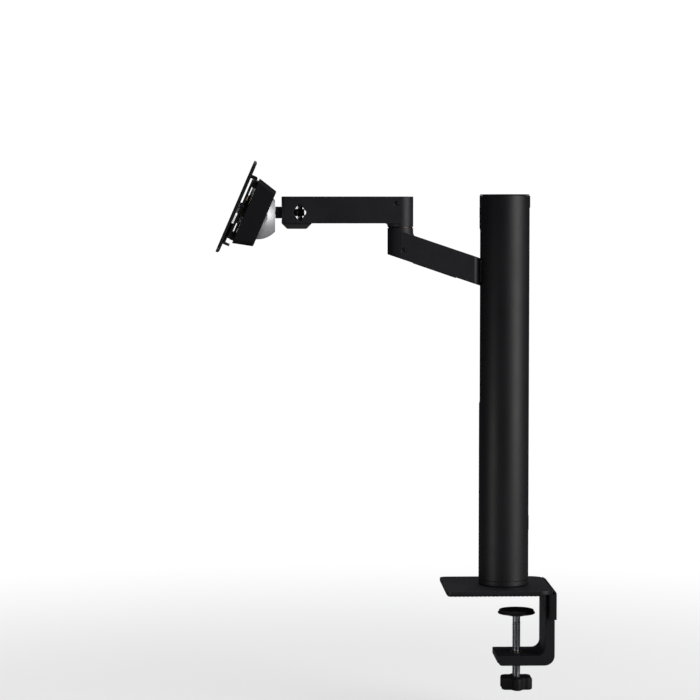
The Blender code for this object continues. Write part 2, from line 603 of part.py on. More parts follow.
def build_ball():
    """The silver ball housing: a hollow shell, flat at the neck, with a barrel for the tilt shaft."""
    centre = (0, BALL_Y - PAN_Y, BALL_Z)
    bm = bmesh.new()
    bmesh.ops.create_uvsphere(bm, u_segments=36, v_segments=18, radius=BALL_R,
                              matrix=along("-Y", centre))
    shell = piece("ball_housing", bm, SILVER, PAN)
    bm = bmesh.new()
    bmesh.ops.create_uvsphere(bm, u_segments=20, v_segments=10, radius=0.0245,
                              matrix=along("-Y", centre))
    hollow = piece("ball_hollow", bm, None, PAN)
    rear_wall = bar("ball_rear_wall", (-0.03, centre[1] + 0.0168, 0.41), (0.03, centre[1] + 0.05, 0.49),
                    frame=PAN)
    cut(hollow, rear_wall)
    rear = bar("ball_rear", (-0.03, centre[1] + 0.0208, 0.41), (0.03, centre[1] + 0.05, 0.49), frame=PAN)
    front = bar("ball_front", (-0.03, centre[1] - 0.05, 0.41), (0.03, centre[1] - 0.0034, 0.49), frame=PAN)
    barrel_half = 0.0255
    cheeks = bmesh.new()
    for x in (-1, 1):
        near, far = sorted((x * barrel_half, x * 0.04))
        add_bar(cheeks, (near, centre[1] - 0.03, 0.41), (far, centre[1] + 0.03, 0.49))
    cheeks = piece("ball_cheeks", cheeks, None, PAN)
    barrel = turned("ball_barrel", disc(0.0110, -barrel_half + 0.0001, barrel_half - 0.0001), frame=PAN,
                    places=[along("X", centre)], steps=32)
    bore = turned("ball_bore", disc(0.0048, -0.035, 0.035), frame=PAN, places=[along("X", centre)])
    bolt_hole = turned("ball_bolt_hole", disc(0.0023, 0.028, 0.040), frame=PAN,
                       places=[along("-Y", (0, 0, NECK_BOLT_Z))], steps=12)
    cut(shell, hollow, rear, front, cheeks)
    fuse(shell, barrel)
    cut(shell, bore, bolt_hole)
    head_y = centre[1] + 0.0165 - 0.0024
    turned("neck_bolt", screw(0.0035, 0.0024, 0.0020, 0.0145), STEEL, PAN,
           [along("Y", (0, head_y, NECK_BOLT_Z))], 12)


def build_yoke():
    """Two ears hold the tilt shaft outside the ball, and a round web in front carries the pivot."""
    rear, half = -0.0065, 0.0080
    web_rear, web_front = WEB_S
    arch = [(-EAR_OUT, rear), (-EAR_IN, rear), (-EAR_IN, web_rear + 0.001), (EAR_IN, web_rear + 0.001)]
    arch += [(EAR_IN, rear), (EAR_OUT, rear), (EAR_OUT, web_front - 0.001), (-EAR_OUT, web_front - 0.001)]
    # The outline's second axis is S, which runs along the frame's -Y.
    flat = Matrix.Rotation(math.pi, 4, "X")
    yoke = plate("tilt_yoke", arch, -half, half, BLACK_STEEL, TILTED, flat)
    web = turned("yoke_web", disc(0.0320, web_rear, web_front), frame=TILTED, places=[along("-Y")],
                 steps=48)
    shaft_hole = turned("yoke_shaft_hole", disc(0.0048, -0.04, 0.04), frame=TILTED, places=[along("X")])
    pin_hole = turned("yoke_pin_hole", disc(0.0053, 0.010, 0.020), frame=TILTED, places=[along("-Y")])
    fuse(yoke, web)
    cut(yoke, shaft_hole, pin_hole)
    end, lip = 0.0325, EAR_OUT + GAP
    shaft = [(0, -end), (0.0062, -end), (0.0062, -lip), (0.0045, -lip)]
    shaft += [(0.0045, lip), (0.0062, lip), (0.0062, end), (0, end)]
    turned("tilt_shaft", shaft, STEEL, TILTED, [along("X")], 24)
    for side, axis in zip(SIDES, ("-X", "X")):
        turned(f"tilt_disc_{side}", ring(0.0048, 0.0064, 0.0258, 0.0287), BRASS, TILTED, [along(axis)], 24)
    pin = [(0, 0.0124), (0.0090, 0.0124), (0.0090, WEB_S[0] - GAP), (0.0050, WEB_S[0] - GAP)]
    pin += [(0.0050, 0.0250), (0, 0.0250)]
    turned("pivot_pin", pin, STEEL, TILTED, [along("-Y")], 24)
    turned("pivot_washer", ring(0.0053, 0.0180, 0.0189, 0.0199), BRASS, TILTED, [along("-Y")], 32)


def frustum(name, rear_s, rear_half, front_s, front_half, finish=None):
    """A square block that grows from its rear face to its front face."""
    bm = bmesh.new()
    corner = math.sqrt(2)
    turn = along("-Y", (0, -(rear_s + front_s) / 2, 0)) @ Matrix.Rotation(math.pi / 4, 4, "Z")
    bmesh.ops.create_cone(
        bm, cap_ends=True, segments=4, radius1=rear_half * corner, radius2=front_half * corner,
        depth=front_s - rear_s, matrix=turn,
    )
    return piece(name, bm, finish, HEAD)


def corner_spots(pitch):
    return [(x * pitch, z * pitch) for x in (-1, 1) for z in (-1, 1)]


def build_head():
    """The cover turns with the display plate about the round opening that the ball sits in."""
    grow = (COVER_FRONT_HALF - COVER_REAR_HALF) / (COVER_FRONT_S - COVER_REAR_S)
    wall = 0.0022
    cover = frustum("head_cover", COVER_REAR_S, COVER_REAR_HALF, COVER_FRONT_S, COVER_FRONT_HALF, PLASTIC)
    soften(cover, 0.0014)
    inner_rear_s = COVER_REAR_S + wall
    reach = 0.004
    inside = frustum(
        "cover_inside", inner_rear_s, COVER_REAR_HALF + grow * wall - wall,
        COVER_FRONT_S + reach, COVER_FRONT_HALF + grow * reach - wall,
    )
    opening = turned("cover_opening", disc(0.0275, -0.012, -0.004), frame=HEAD, places=[along("-Y")],
                     steps=48)
    spots = [along("-Y", (x, 0, z)) for x, z in corner_spots(POST_AT)]
    posts = turned("cover_posts", disc(0.0050, 0.0045, 0.0199), frame=HEAD, places=spots, steps=16)
    post_holes = turned("post_holes", disc(0.0018, 0.007, 0.021), frame=HEAD, places=spots, steps=12)
    cut(cover, inside, opening)
    fuse(cover, posts)
    cut(cover, post_holes)

    half = PIVOT_PLATE_HALF
    rear, front = PIVOT_PLATE_S
    pivot_plate = plate("pivot_plate", rounded((-half, -half), (half, half), (0.003,) * 4, 3),
                        rear, front, BLACK_STEEL, HEAD, FACE)
    pin_hole = turned("plate_pin_hole", disc(0.0053, 0.018, 0.025), frame=HEAD, places=[along("-Y")])
    sinks = turned("plate_screw_sinks", screw(0.0033, 0.0020, 0.0018, 0.0040), frame=HEAD,
                   places=[along("Y", (x, -front - 0.0003, z)) for x, z in corner_spots(POST_AT)], steps=12)
    keeper_hole = bar("keeper_hole", (-0.007, -0.025, -0.038 + 0.002), (0.007, -0.018, -0.024), frame=HEAD)
    guides = bmesh.new()
    for x in (-1, 1):
        near, far = sorted((x * 0.0124, x * 0.0150))
        add_bar(guides, (near, -0.0254, -0.0370), (far, -0.0220, -0.0220))
    fuse(pivot_plate, piece("latch_guides", guides, None, HEAD))
    cut(pivot_plate, pin_hole, sinks, keeper_hole)
    hex_nut("pivot_nut", 0.0080, 0.0053, 0.0230, 0.0250, HEAD, [along("-Y")])
    build_display_plate()


def build_display_plate():
    """A steel plate with the two usual square screw patterns. It hooks on at the top and latches below."""
    half = VESA_HALF
    rear, front = VESA_S
    display = plate("display_plate", rounded((-half, -half), (half, half), (0.008,) * 4, 4),
                    rear, front, BLACK_STEEL, HEAD, FACE)
    hooks = bmesh.new()
    for x in (-1, 1):
        near, far = sorted((x * 0.018, x * 0.028))
        add_bar(hooks, (near, -rear - 0.001, 0.0384), (far, -0.0176, 0.0420))
    lips = bmesh.new()
    for x in (-1, 1):
        near, far = sorted((x * 0.01801, x * 0.02799))
        add_bar(lips, (near, -0.0198, 0.0345), (far, -0.01761, 0.0400))
    hooks = piece("plate_hooks", hooks, None, HEAD)
    fuse(hooks, piece("plate_lips", lips, None, HEAD))
    keeper = bar("plate_keeper", (-0.0040, -rear - 0.001, -0.0330), (0.0040, -0.0206, -0.0290), frame=HEAD)
    catch = bar("plate_catch", (-0.00399, -0.0225, -0.0310), (0.00399, -0.02061, -0.0262), frame=HEAD)
    fuse(keeper, catch)
    holes = bmesh.new()
    for pitch in VESA_PITCHES:
        for x, z in corner_spots(pitch / 2):
            add_turned(holes, disc(0.0025, rear - 0.002, front + 0.002), along("-Y", (x, 0, z)), 16)
    fuse(display, hooks, keeper)
    cut(display, piece("display_screw_holes", holes, None, HEAD))


def build_latch():
    """Pushing the pad up lifts the latch off the display plate's catch. A small spring returns it."""
    slide_s = (0.0230, 0.0252)
    latch = bar("release_latch", (-0.012, -slide_s[1], -0.0450), (0.012, -slide_s[0], -0.0200), STEEL, LATCH)
    eye = bar("latch_eye", (-0.0060, -0.027, -0.0370), (0.0060, -0.021, -0.0288), frame=LATCH)
    pad = bar("latch_pad", (-0.0140, -0.0251, -0.0470), (0.0140, -0.0172, -0.0440), frame=LATCH)
    fuse(latch, pad)
    cut(latch, eye)
    coil("latch_spring", (0, -0.0241, -0.0196), 0.0101, 0.00085, 0.0002, 5, SPRING_STEEL, HEAD)


def coil(name, foot, height, radius, wire, turns, finish, frame):
    """A compression spring standing along Z."""
    curve = bpy.data.curves.new(name, "CURVE")
    curve.dimensions = "3D"
    curve.bevel_depth = wire
    curve.bevel_resolution = 0
    curve.use_fill_caps = True
    spline = curve.splines.new("POLY")
    steps = turns * 6
    spline.points.add(steps)
    for i, point in enumerate(spline.points):
        angle = 2 * math.pi * turns * i / steps
        at = (radius * math.cos(angle), radius * math.sin(angle), height * i / steps)
        point.co = (*(a + b for a, b in zip(foot, at)), 1)
    obj = bpy.data.objects.new(name, curve)
    obj.parent = frame
    curve.materials.append(finish)
    PARTS.objects.link(obj)


def build_clamp():
    """The pad presses the desk from below. The screw turns in the brass insert and lifts the pad."""
    at = [along("Z", (0, 0, 0))]
    top = -DESK_THICK
    rubber = turned("clamp_pad_rubber", disc(0.0210, top - 0.0022, top), RUBBER, PAD, at, 32)
    soften(rubber, 0.0004)
    pad = [(0, top - 0.0025), (0.0225, top - 0.0025), (0.0225, top - 0.0045), (0.0090, top - 0.0075)]
    pad += [(0.0056, top - 0.0075), (0.0056, top - 0.0045), (0, top - 0.0045)]
    turned("clamp_pad", pad, BLACK_STEEL, PAD, at, 32)
    rod = [(0, top - 0.0048), (CLAMP_SCREW_R, top - 0.0060), (CLAMP_SCREW_R, CLAMP_SCREW_END + 0.001),
           (CLAMP_SCREW_R - 0.001, CLAMP_SCREW_END), (0, CLAMP_SCREW_END)]
    turned("clamp_screw", rod, STEEL, PAD, at, 20)
    lobes, knob_r, dip = 6, 0.0185, 0.0022
    outline = []
    for i in range(lobes * 8):
        angle = 2 * math.pi * i / (lobes * 8)
        reach = knob_r + dip * math.cos(lobes * angle)
        outline.append((reach * math.cos(angle), reach * math.sin(angle)))
    knob = plate("clamp_knob", outline, -0.1210, -0.1060, PLASTIC, PAD)
    cut(knob, turned("knob_bore", disc(CLAMP_SCREW_R + GAP, -0.125, -0.100), frame=PAD))


for old in list(bpy.data.objects):
    bpy.data.objects.remove(old, do_unlink=True)
PARTS = new_collection("monitor_arm")
CUTTERS = new_collection("cutters")

BLACK = look("black_powder_coat", (0.012, 0.012, 0.014), 0.45, 0.0)
BLACK_STEEL = look("black_steel", (0.02, 0.02, 0.021), 0.4, 0.8)
PLASTIC = look("black_plastic", (0.014, 0.014, 0.015), 0.5)
GREY = look("dark_grey_plastic", (0.03, 0.03, 0.031), 0.5)
SILVER = look("silver_paint", (0.62, 0.62, 0.63), 0.35, 0.9)
STEEL = look("steel", (0.55, 0.55, 0.56), 0.3, 1.0)
SPRING_STEEL = look("spring_steel", (0.35, 0.36, 0.38), 0.3, 1.0)
ALLOY = look("cast_alloy", (0.45, 0.45, 0.46), 0.5, 1.0)
BRASS = look("brass", (0.75, 0.56, 0.25), 0.35, 1.0)
NYLON = look("white_nylon", (0.75, 0.74, 0.70), 0.5)
RUBBER = look("rubber", (0.015, 0.015, 0.015), 0.85)

POLE = frame_at("pole_axis", (0, 0, 0))
DRUM = frame_at("drum_axis", (0, DRUM_Y, DRUM_Z))
CARRIAGE = frame_at("carriage_axis", (0, 0, 0))
SLOPED = frame_at("lower_link_slope", (0, -0.031, (ROOT_LOW + ROOT_TOP) / 2), -SLOPE)
ELBOW = frame_at("elbow_axis", (0, ELBOW_Y, 0))
PAN = frame_at("pan_axis", (0, PAN_Y, 0))
TILTED = frame_at("tilt_axis", (0, BALL_Y, BALL_Z), -TILT)
HEAD = frame_at("pivot_axis", (0, BALL_Y, BALL_Z), -TILT)
LATCH = frame_at("latch_axis", (0, BALL_Y, BALL_Z), -TILT)
PAD = frame_at("clamp_axis", (0, CLAMP_Y, 0))

build_base()
build_spigot()
build_pole()
build_spring()
build_carriage()
build_lower_link()
build_elbow()
build_upper_link()
build_pan_joint()
build_neck()
build_ball()
build_yoke()
build_head()
build_latch()
build_clamp()
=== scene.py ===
import json
import math

import bmesh
import bpy
from mathutils import Matrix, Vector

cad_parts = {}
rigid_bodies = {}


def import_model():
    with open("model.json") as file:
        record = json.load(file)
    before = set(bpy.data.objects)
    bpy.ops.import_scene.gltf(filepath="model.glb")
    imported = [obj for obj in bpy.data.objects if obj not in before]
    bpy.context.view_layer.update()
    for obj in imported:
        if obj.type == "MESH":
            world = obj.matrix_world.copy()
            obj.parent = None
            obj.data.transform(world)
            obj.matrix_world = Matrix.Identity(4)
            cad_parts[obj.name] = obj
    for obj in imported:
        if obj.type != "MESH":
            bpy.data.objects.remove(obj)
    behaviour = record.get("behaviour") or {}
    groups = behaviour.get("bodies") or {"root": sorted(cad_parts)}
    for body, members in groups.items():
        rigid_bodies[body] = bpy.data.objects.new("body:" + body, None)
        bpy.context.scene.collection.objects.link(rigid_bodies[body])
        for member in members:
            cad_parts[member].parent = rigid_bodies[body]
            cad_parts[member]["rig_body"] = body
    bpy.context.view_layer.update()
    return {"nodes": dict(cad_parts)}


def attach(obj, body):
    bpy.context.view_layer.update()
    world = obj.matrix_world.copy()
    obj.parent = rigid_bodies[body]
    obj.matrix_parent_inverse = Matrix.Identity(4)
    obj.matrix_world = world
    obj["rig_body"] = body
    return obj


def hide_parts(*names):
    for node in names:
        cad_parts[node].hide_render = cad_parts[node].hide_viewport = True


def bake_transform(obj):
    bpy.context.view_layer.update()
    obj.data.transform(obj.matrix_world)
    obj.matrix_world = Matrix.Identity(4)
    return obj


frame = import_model()

# ---------------------------------------------------------------------------------------------
# Base plate. A 5 mm steel plate that stands on the desk, with its rear edge bent down into a
# flange behind the desk. It is cut, bent, and powder-coated black with a fine satin texture.

body_of_node = {name: node["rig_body"] for name, node in frame["nodes"].items()}


def put(tree, kind, inputs=None, **settings):
    """Adds a shader node. An input is a value, or another node's output."""
    node = tree.nodes.new("ShaderNode" + kind)
    for key, value in settings.items():
        setattr(node, key, value)
    for key, value in (inputs or {}).items():
        if isinstance(value, bpy.types.NodeSocket):
            tree.links.new(value, node.inputs[key])
        else:
            node.inputs[key].default_value = value
    return node


def maths(tree, operation, *values):
    return put(tree, "Math", dict(enumerate(values)), operation=operation).outputs[0]


def mixed(tree, share, first, second):
    """A colour on the way from the first to the second."""
    return put(tree, "Mix", {0: share, 6: first, 7: second}, data_type="RGBA").outputs[2]


def start_group(name, inputs, outputs):
    """A node group's tree, what it is given and what it puts out."""
    tree = bpy.data.node_groups.new(name, "ShaderNodeTree")
    for label, kind, value in inputs:
        socket = tree.interface.new_socket(label, in_out="INPUT", socket_type="NodeSocket" + kind)
        socket.default_value = value
    for label, kind in outputs:
        tree.interface.new_socket(label, in_out="OUTPUT", socket_type="NodeSocket" + kind)
    return tree, tree.nodes.new("NodeGroupInput").outputs, tree.nodes.new("NodeGroupOutput").inputs


def make_fine_grain():
    """A sprayed or moulded surface: close grain, slow drifts in shade, and uneven gloss."""
    tree, given, out = start_group(
        "fine_grain",
        [("Colour", "Color", (0.1, 0.1, 0.1, 1)), ("Lift", "Float", 1.5), ("Roughness", "Float", 0.5),
         ("Spread", "Float", 0.1), ("Grains", "Float", 1200.0)],
        [("Colour", "Color"), ("Roughness", "Float"), ("Height", "Float")],
    )
    where = put(tree, "TexCoord").outputs["Object"]
    grain = put(tree, "TexNoise",
                {"Vector": where, "Scale": given["Grains"], "Detail": 3.0, "Roughness": 0.6})
    cells = put(tree, "TexVoronoi", {"Vector": where, "Scale": given["Grains"], "Randomness": 1.0})
    drift = put(tree, "TexNoise", {"Vector": where, "Scale": 22.0, "Detail": 4.0, "Roughness": 0.55})
    height = maths(tree, "ADD", grain.outputs["Fac"], cells.outputs["Distance"])
    both = maths(tree, "ADD", grain.outputs["Fac"], drift.outputs["Fac"])
    share = put(tree, "MapRange", {"Value": both, "From Min": 0.7, "From Max": 1.3}).outputs[0]
    lifted = put(tree, "VectorMath", {0: given["Colour"], "Scale": given["Lift"]}, operation="SCALE")
    colour = mixed(tree, share, given["Colour"], lifted.outputs[0])
    uneven = maths(tree, "SUBTRACT", share, 0.5)
    rough = maths(tree, "MULTIPLY_ADD", uneven, given["Spread"], given["Roughness"])
    tree.links.new(colour, out["Colour"])
    tree.links.new(rough, out["Roughness"])
    tree.links.new(height, out["Height"])
    return tree


def make_edge_rub():
    """Marks the narrow band along corners, where a coat is thinner and gets rubbed smooth."""
    tree, given, out = start_group(
        "edge_rub", [("Reach", "Float", 0.0006), ("Amount", "Float", 0.5)], [("Mask", "Float")])
    rounded_off = put(tree, "Bevel", {"Radius": given["Reach"]}, samples=4).outputs[0]
    true = put(tree, "NewGeometry").outputs["Normal"]
    meet = put(tree, "VectorMath", {0: rounded_off, 1: true}, operation="DOT_PRODUCT")
    band = put(tree, "MapRange", {"Value": meet.outputs["Value"], "From Min": 0.995, "From Max": 0.90})
    where = put(tree, "TexCoord").outputs["Object"]
    patchy = put(tree, "TexNoise", {"Vector": where, "Scale": 160.0, "Detail": 4.0})
    broken = put(tree, "MapRange", {"Value": patchy.outputs["Fac"], "From Min": 0.35, "From Max": 0.65})
    worn = maths(tree, "MULTIPLY", band.outputs[0], broken.outputs[0])
    tree.links.new(maths(tree, "MULTIPLY", worn, given["Amount"]), out["Mask"])
    return tree


fine_grain = make_fine_grain()
edge_rub = make_edge_rub()


def grained(name, colour, lift, rough, spread, grains, bite, rub=0.0, rub_colour=None, **shader_values):
    """A coated, moulded or rubber surface, with its corners rubbed where that shows."""
    material = bpy.data.materials.new(name)
    material.use_nodes = True
    tree = material.node_tree
    shader = tree.nodes["Principled BSDF"]
    skin = put(tree, "Group", node_tree=fine_grain)
    skin.inputs["Colour"].default_value = (*colour, 1)
    for key, value in (("Lift", lift), ("Roughness", rough), ("Spread", spread), ("Grains", grains)):
        skin.inputs[key].default_value = value
    bump = put(tree, "Bump", {"Height": skin.outputs["Height"], "Strength": bite, "Distance": 0.00012})
    tree.links.new(bump.outputs[0], shader.inputs["Normal"])
    shade, gloss = skin.outputs["Colour"], skin.outputs["Roughness"]
    if rub:
        edge = put(tree, "Group", node_tree=edge_rub)
        edge.inputs["Amount"].default_value = rub
        mask = edge.outputs["Mask"]
        shade = mixed(tree, mask, shade, (*rub_colour, 1))
        gloss = put(tree, "Mix", {0: mask, 2: gloss, 3: rough * 0.7}).outputs[0]
    tree.links.new(shade, shader.inputs["Base Color"])
    tree.links.new(gloss, shader.inputs["Roughness"])
    for key, value in shader_values.items():
        shader.inputs[key.replace("_", " ")].default_value = value
    return material


powder_coat = grained("black_powder_coat", (0.0052, 0.0051, 0.0066), 1.5, 0.50, 0.12, 1500.0, 0.35,
                      rub=0.5, rub_colour=(0.030, 0.030, 0.032), Specular_IOR_Level=0.42)


def solid(name, bm, place=None):
    """A closed bmesh becomes an object, laid in place."""
    if place is not None:
        bmesh.ops.transform(bm, matrix=place, verts=bm.verts)
    bmesh.ops.recalc_face_normals(bm, faces=bm.faces)
    mesh = bpy.data.meshes.new(name)
    bm.to_mesh(mesh)
    bm.free()
    obj = bpy.data.objects.new(name, mesh)
    bpy.context.scene.collection.objects.link(obj)
    return obj


def stack(name, outlines, place=None):
    """Skins a pile of equal outlines and caps both ends."""
    bm = bmesh.new()
    rows = [[bm.verts.new(point) for point in outline] for outline in outlines]
    for lower, upper in zip(rows, rows[1:]):
        for i in range(len(lower)):
            j = (i + 1) % len(lower)
            bm.faces.new((lower[i], lower[j], upper[j], upper[i]))
    bm.faces.new(rows[0][::-1])
    bm.faces.new(rows[-1])
    return solid(name, bm, place)


def slab(name, outline, low, high, place=None):
    """A flat outline with a thickness."""
    return stack(name, [[(x, y, z) for x, y in outline] for z in (low, high)], place)


def arc(centre, radius, start, end, steps=10):
    """Points on an arc, with angles in degrees."""
    angles = [math.radians(start + (end - start) * i / steps) for i in range(steps + 1)]
    return [(centre[0] + radius * math.cos(a), centre[1] + radius * math.sin(a)) for a in angles]


def rounded(low, high, radii, steps=10):
    """A rectangle's outline with rounded corners, whose radii run anticlockwise from the low corner."""
    corners = [(low[0], low[1]), (high[0], low[1]), (high[0], high[1]), (low[0], high[1])]
    inward = [(1, 1), (-1, 1), (-1, -1), (1, -1)]
    points = []
    for i, (corner, way, radius) in enumerate(zip(corners, inward, radii)):
        centre = [c + w * radius for c, w in zip(corner, way)]
        points += arc(centre, radius, 180 + 90 * i, 270 + 90 * i, steps)
    return points


def box(name, low, high, place=None):
    outline = [(low[0], low[1]), (high[0], low[1]), (high[0], high[1]), (low[0], high[1])]
    return slab(name, outline, low[2], high[2], place)


def lathe(name, profile, places=(None,), steps=64):
    """Turns (radius, height) points about Z. A profile that starts off the axis closes into a ring."""
    bm = bmesh.new()
    ways = [(math.cos(2 * math.pi * i / steps), math.sin(2 * math.pi * i / steps)) for i in range(steps)]
    for place in places:
        place = place or Matrix()
        rows = []
        for radius, height in profile:
            spots = ways if radius > 0 else [(0, 0)]
            rows.append([bm.verts.new(place @ Vector((radius * x, radius * y, height))) for x, y in spots])
        pairs = list(zip(rows, rows[1:]))
        if profile[0][0] > 0:
            pairs.append((rows[-1], rows[0]))
        for lower, upper in pairs:
            for i in range(steps):
                j = (i + 1) % steps
                corners = (lower[i % len(lower)], lower[j % len(lower)],
                           upper[j % len(upper)], upper[i % len(upper)])
                bm.faces.new(list(dict.fromkeys(corners)))
    return solid(name, bm)


def disc(radius, low, high):
    return [(0, low), (radius, low), (radius, high), (0, high)]


def ring(inner, outer, low, high):
    return [(inner, low), (outer, low), (outer, high), (inner, high)]


def eased(profile, width, steps=3):
    """A lathe profile with its corners rounded. Points on the axis stay."""
    is_ring = profile[0][0] > 0
    points = []
    for i, here in enumerate(profile):
        before, after = profile[i - 1], profile[(i + 1) % len(profile)]
        if not is_ring and i in (0, len(profile) - 1):
            points.append(here)
            continue
        here, before, after = Vector(here), Vector(before), Vector(after)
        reach = min(width, (before - here).length * 0.45, (after - here).length * 0.45)
        start = here + (before - here).normalized() * reach
        end = here + (after - here).normalized() * reach
        for k in range(steps + 1):
            t = k / steps
            at = start * (1 - t) ** 2 + here * 2 * t * (1 - t) + end * t ** 2
            points.append((at.x, at.y))
    return points


def settle(obj):
    """Applies the object's modifiers."""
    graph = bpy.context.evaluated_depsgraph_get()
    made = bpy.data.meshes.new_from_object(obj.evaluated_get(graph))
    obj.modifiers.clear()
    old = obj.data
    obj.data = made
    bpy.data.meshes.remove(old)


def combine(obj, operation, others):
    for other in others:
        step = obj.modifiers.new(other.name, "BOOLEAN")
        step.operation = operation
        step.object = other
        step.solver = "EXACT"
    settle(obj)
    for other in others:
        bpy.data.objects.remove(other)


def carve(obj, *cutters):
    combine(obj, "DIFFERENCE", cutters)


def weld(obj, *others):
    combine(obj, "UNION", others)


def trim(obj, *rooms):
    combine(obj, "INTERSECT", rooms)


def soften(obj, width, segments=2, angle=40, where=None):
    """Rounds each edge sharper than the angle, where its middle is wanted, and shades the piece smoothly."""
    bm = bmesh.new()
    bm.from_mesh(obj.data)
    bmesh.ops.remove_doubles(bm, verts=bm.verts, dist=2e-6)
    bmesh.ops.dissolve_limit(bm, angle_limit=math.radians(0.4), verts=bm.verts, edges=bm.edges)
    weight = bm.edges.layers.float.new("bevel_weight_edge")
    for edge in bm.edges:
        sharp = edge.calc_face_angle(0) > math.radians(angle)
        edge[weight] = float(sharp and (where is None or where((edge.verts[0].co + edge.verts[1].co) / 2)))
    bm.to_mesh(obj.data)
    bm.free()
    bevel = obj.modifiers.new("rounding", "BEVEL")
    bevel.width = width
    bevel.segments = segments
    bevel.limit_method = "WEIGHT"
    bevel.use_clamp_overlap = False
    settle(obj)
    shade(obj)
    return obj


def shade(obj, angle=35):
    """Smooth shading that leans on the large faces, with true corners kept."""
    obj.data.shade_smooth()
    obj.data.set_sharp_from_angle(angle=math.radians(angle))
    lean = obj.modifiers.new("lean", "WEIGHTED_NORMAL")
    lean.keep_sharp = True
    lean.weight = 90
    settle(obj)
    return obj


def finish_as(obj, finish, *nodes):
    """The finished piece stands for its plain solids, and moves with their body."""
    obj.data.materials.clear()
    obj.data.materials.append(finish)
    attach(obj, body_of_node[nodes[0]])
    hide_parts(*nodes)
    return obj


def along(axis, at=(0, 0, 0)):
    """Lays a turned shape's own Z along a named axis."""
    turns = {"Z": Matrix(), "-Z": Matrix.Rotation(math.pi, 4, "X"), "X": Matrix.Rotation(math.pi / 2, 4, "Y"),
             "-X": Matrix.Rotation(-math.pi / 2, 4, "Y"), "Y": Matrix.Rotation(-math.pi / 2, 4, "X"),
             "-Y": Matrix.Rotation(math.pi / 2, 4, "X")}
    return Matrix.Translation(at) @ turns[axis]


# Stands an outline up in the plane of the arm, with its thickness across it.
side_on = Matrix(((0, 0, 1, 0), (1, 0, 0, 0), (0, 1, 0, 0), (0, 0, 0, 1)))
gap = 0.0003
base_half, base_front, base_rear = 0.061, -0.073, 0.054
plate_low, plate_top = 0.0015, 0.0063
flange_half, flange_inner, flange_outer, flange_low = 0.050, 0.051, 0.059, -0.030
desk_edge = 0.047
bolt_spots = {"left": (-0.020, -0.016), "right": (0.020, -0.016)}


def make_base_plate():
    plate = slab("base_plate_bent", rounded((-base_half, base_front), (base_half, base_rear),
                                            (0.008, 0.008, 0.016, 0.016), 14), plate_low, plate_top)
    bend, shy = 0.006, 0.00002
    profile = [(desk_edge - 0.003, plate_low + shy), (flange_inner - 0.001, plate_low + shy)]
    profile += arc((flange_inner - 0.001, plate_low + shy - 0.001), 0.001, 90, 0, 4)[1:]
    profile += [(flange_inner, flange_low), (flange_outer, flange_low)]
    profile += arc((flange_outer - bend, plate_top - shy - bend), bend, 0, 90, 14)
    profile += [(desk_edge - 0.003, plate_top - shy)]
    flange = slab("flange", profile, -flange_half, flange_half, side_on)
    weld(plate, flange)
    sinks = [(0, 0), (0.0058, 0), (0.0053, 0.0006), (0.0053, 0.0046), (0.0033, 0.0046), (0.0033, 0.0098),
             (0, 0.0098)]
    places = [along("-Y", (x, flange_outer + gap, z)) for x, z in bolt_spots.values()]
    carve(plate, lathe("bolt_sinks", sinks, places, 40),
          lathe("spigot_hole", disc(0.0043, 0, 0.008), steps=32))
    soften(plate, 0.0007)
    return finish_as(plate, powder_coat, "base_plate")


make_base_plate()

# ---------------------------------------------------------------------------------------------
# Desk pad. A sheet of black rubber glued under the base plate so that the steel doesn't mark the
# desk. It is die-cut from ribbed sheet, a little smaller than the plate.

rubber = grained("black_rubber", (0.011, 0.011, 0.011), 1.7, 0.82, 0.14, 900.0, 0.6)
inset, groove_pitch, groove_wide, groove_deep = 0.0015, 0.005, 0.0018, 0.0003
pad_outline = rounded((-base_half + inset, base_front + inset), (base_half - inset, desk_edge - 0.002),
                      (0.007, 0.007, 0.010, 0.010))
desk_pad = slab("desk_pad", pad_outline, 0, 0.0012)
grooves = []
for i in range(22):
    y = -0.066 + i * groove_pitch
    grooves.append(box("groove", (-base_half - 0.001, y, -0.001),
                       (base_half + 0.001, y + groove_wide, groove_deep)))
carve(desk_pad, *grooves)
soften(desk_pad, 0.00015, 1)
finish_as(desk_pad, rubber, "base_pad")

# ---------------------------------------------------------------------------------------------
# Clamp bracket. A C-shaped bracket bent from heavy steel strip, which hangs from the base plate's
# flange on two bolts and holds the clamp spindle below the desk. It is powder-coated like the plate.

jaw_top, jaw_low = -0.076, -0.088
clamp_y = 0.016
inner, outer = desk_edge + gap, flange_inner - gap
step_down = flange_low - gap


def make_bracket():
    tip = -0.010
    outline = [(inner, -0.002), (inner, jaw_top + 0.010)]
    outline += arc((inner - 0.010, jaw_top + 0.010), 0.010, 0, -90, 12)[1:]
    outline += [(tip, jaw_top), (tip, jaw_top - 0.008)]
    outline += arc((tip + 0.006, jaw_low + 0.0045), 0.0045, 200, 270, 5)
    outline += arc((flange_outer - 0.012, jaw_low + 0.012), 0.012, -90, 0, 14)
    outline += [(flange_outer, step_down - 0.003), (flange_outer - 0.003, step_down), (outer, step_down)]
    outline += [(outer, -0.002)]
    bracket = slab("clamp_c_bracket", outline[::-1], -0.032, 0.032, side_on)
    holes = [along("-Y", (x, flange_inner + 0.001, z)) for x, z in bolt_spots.values()]
    insert_hole = disc(0.0078, jaw_low - 0.004, jaw_top + 0.004)
    carve(bracket, lathe("wall_holes", disc(0.0033, 0, 0.006), holes, 32),
          lathe("insert_hole", insert_hole, [along("Z", (0, clamp_y, 0))], 48))
    soften(bracket, 0.0009, 3)
    return finish_as(bracket, powder_coat, "clamp_bracket")


make_bracket()

# ---------------------------------------------------------------------------------------------
# Bracket bolts. Two M6 socket-head bolts of zinc-plated steel hold the bracket. They are turned,
# and their heads sit flush in the flange.


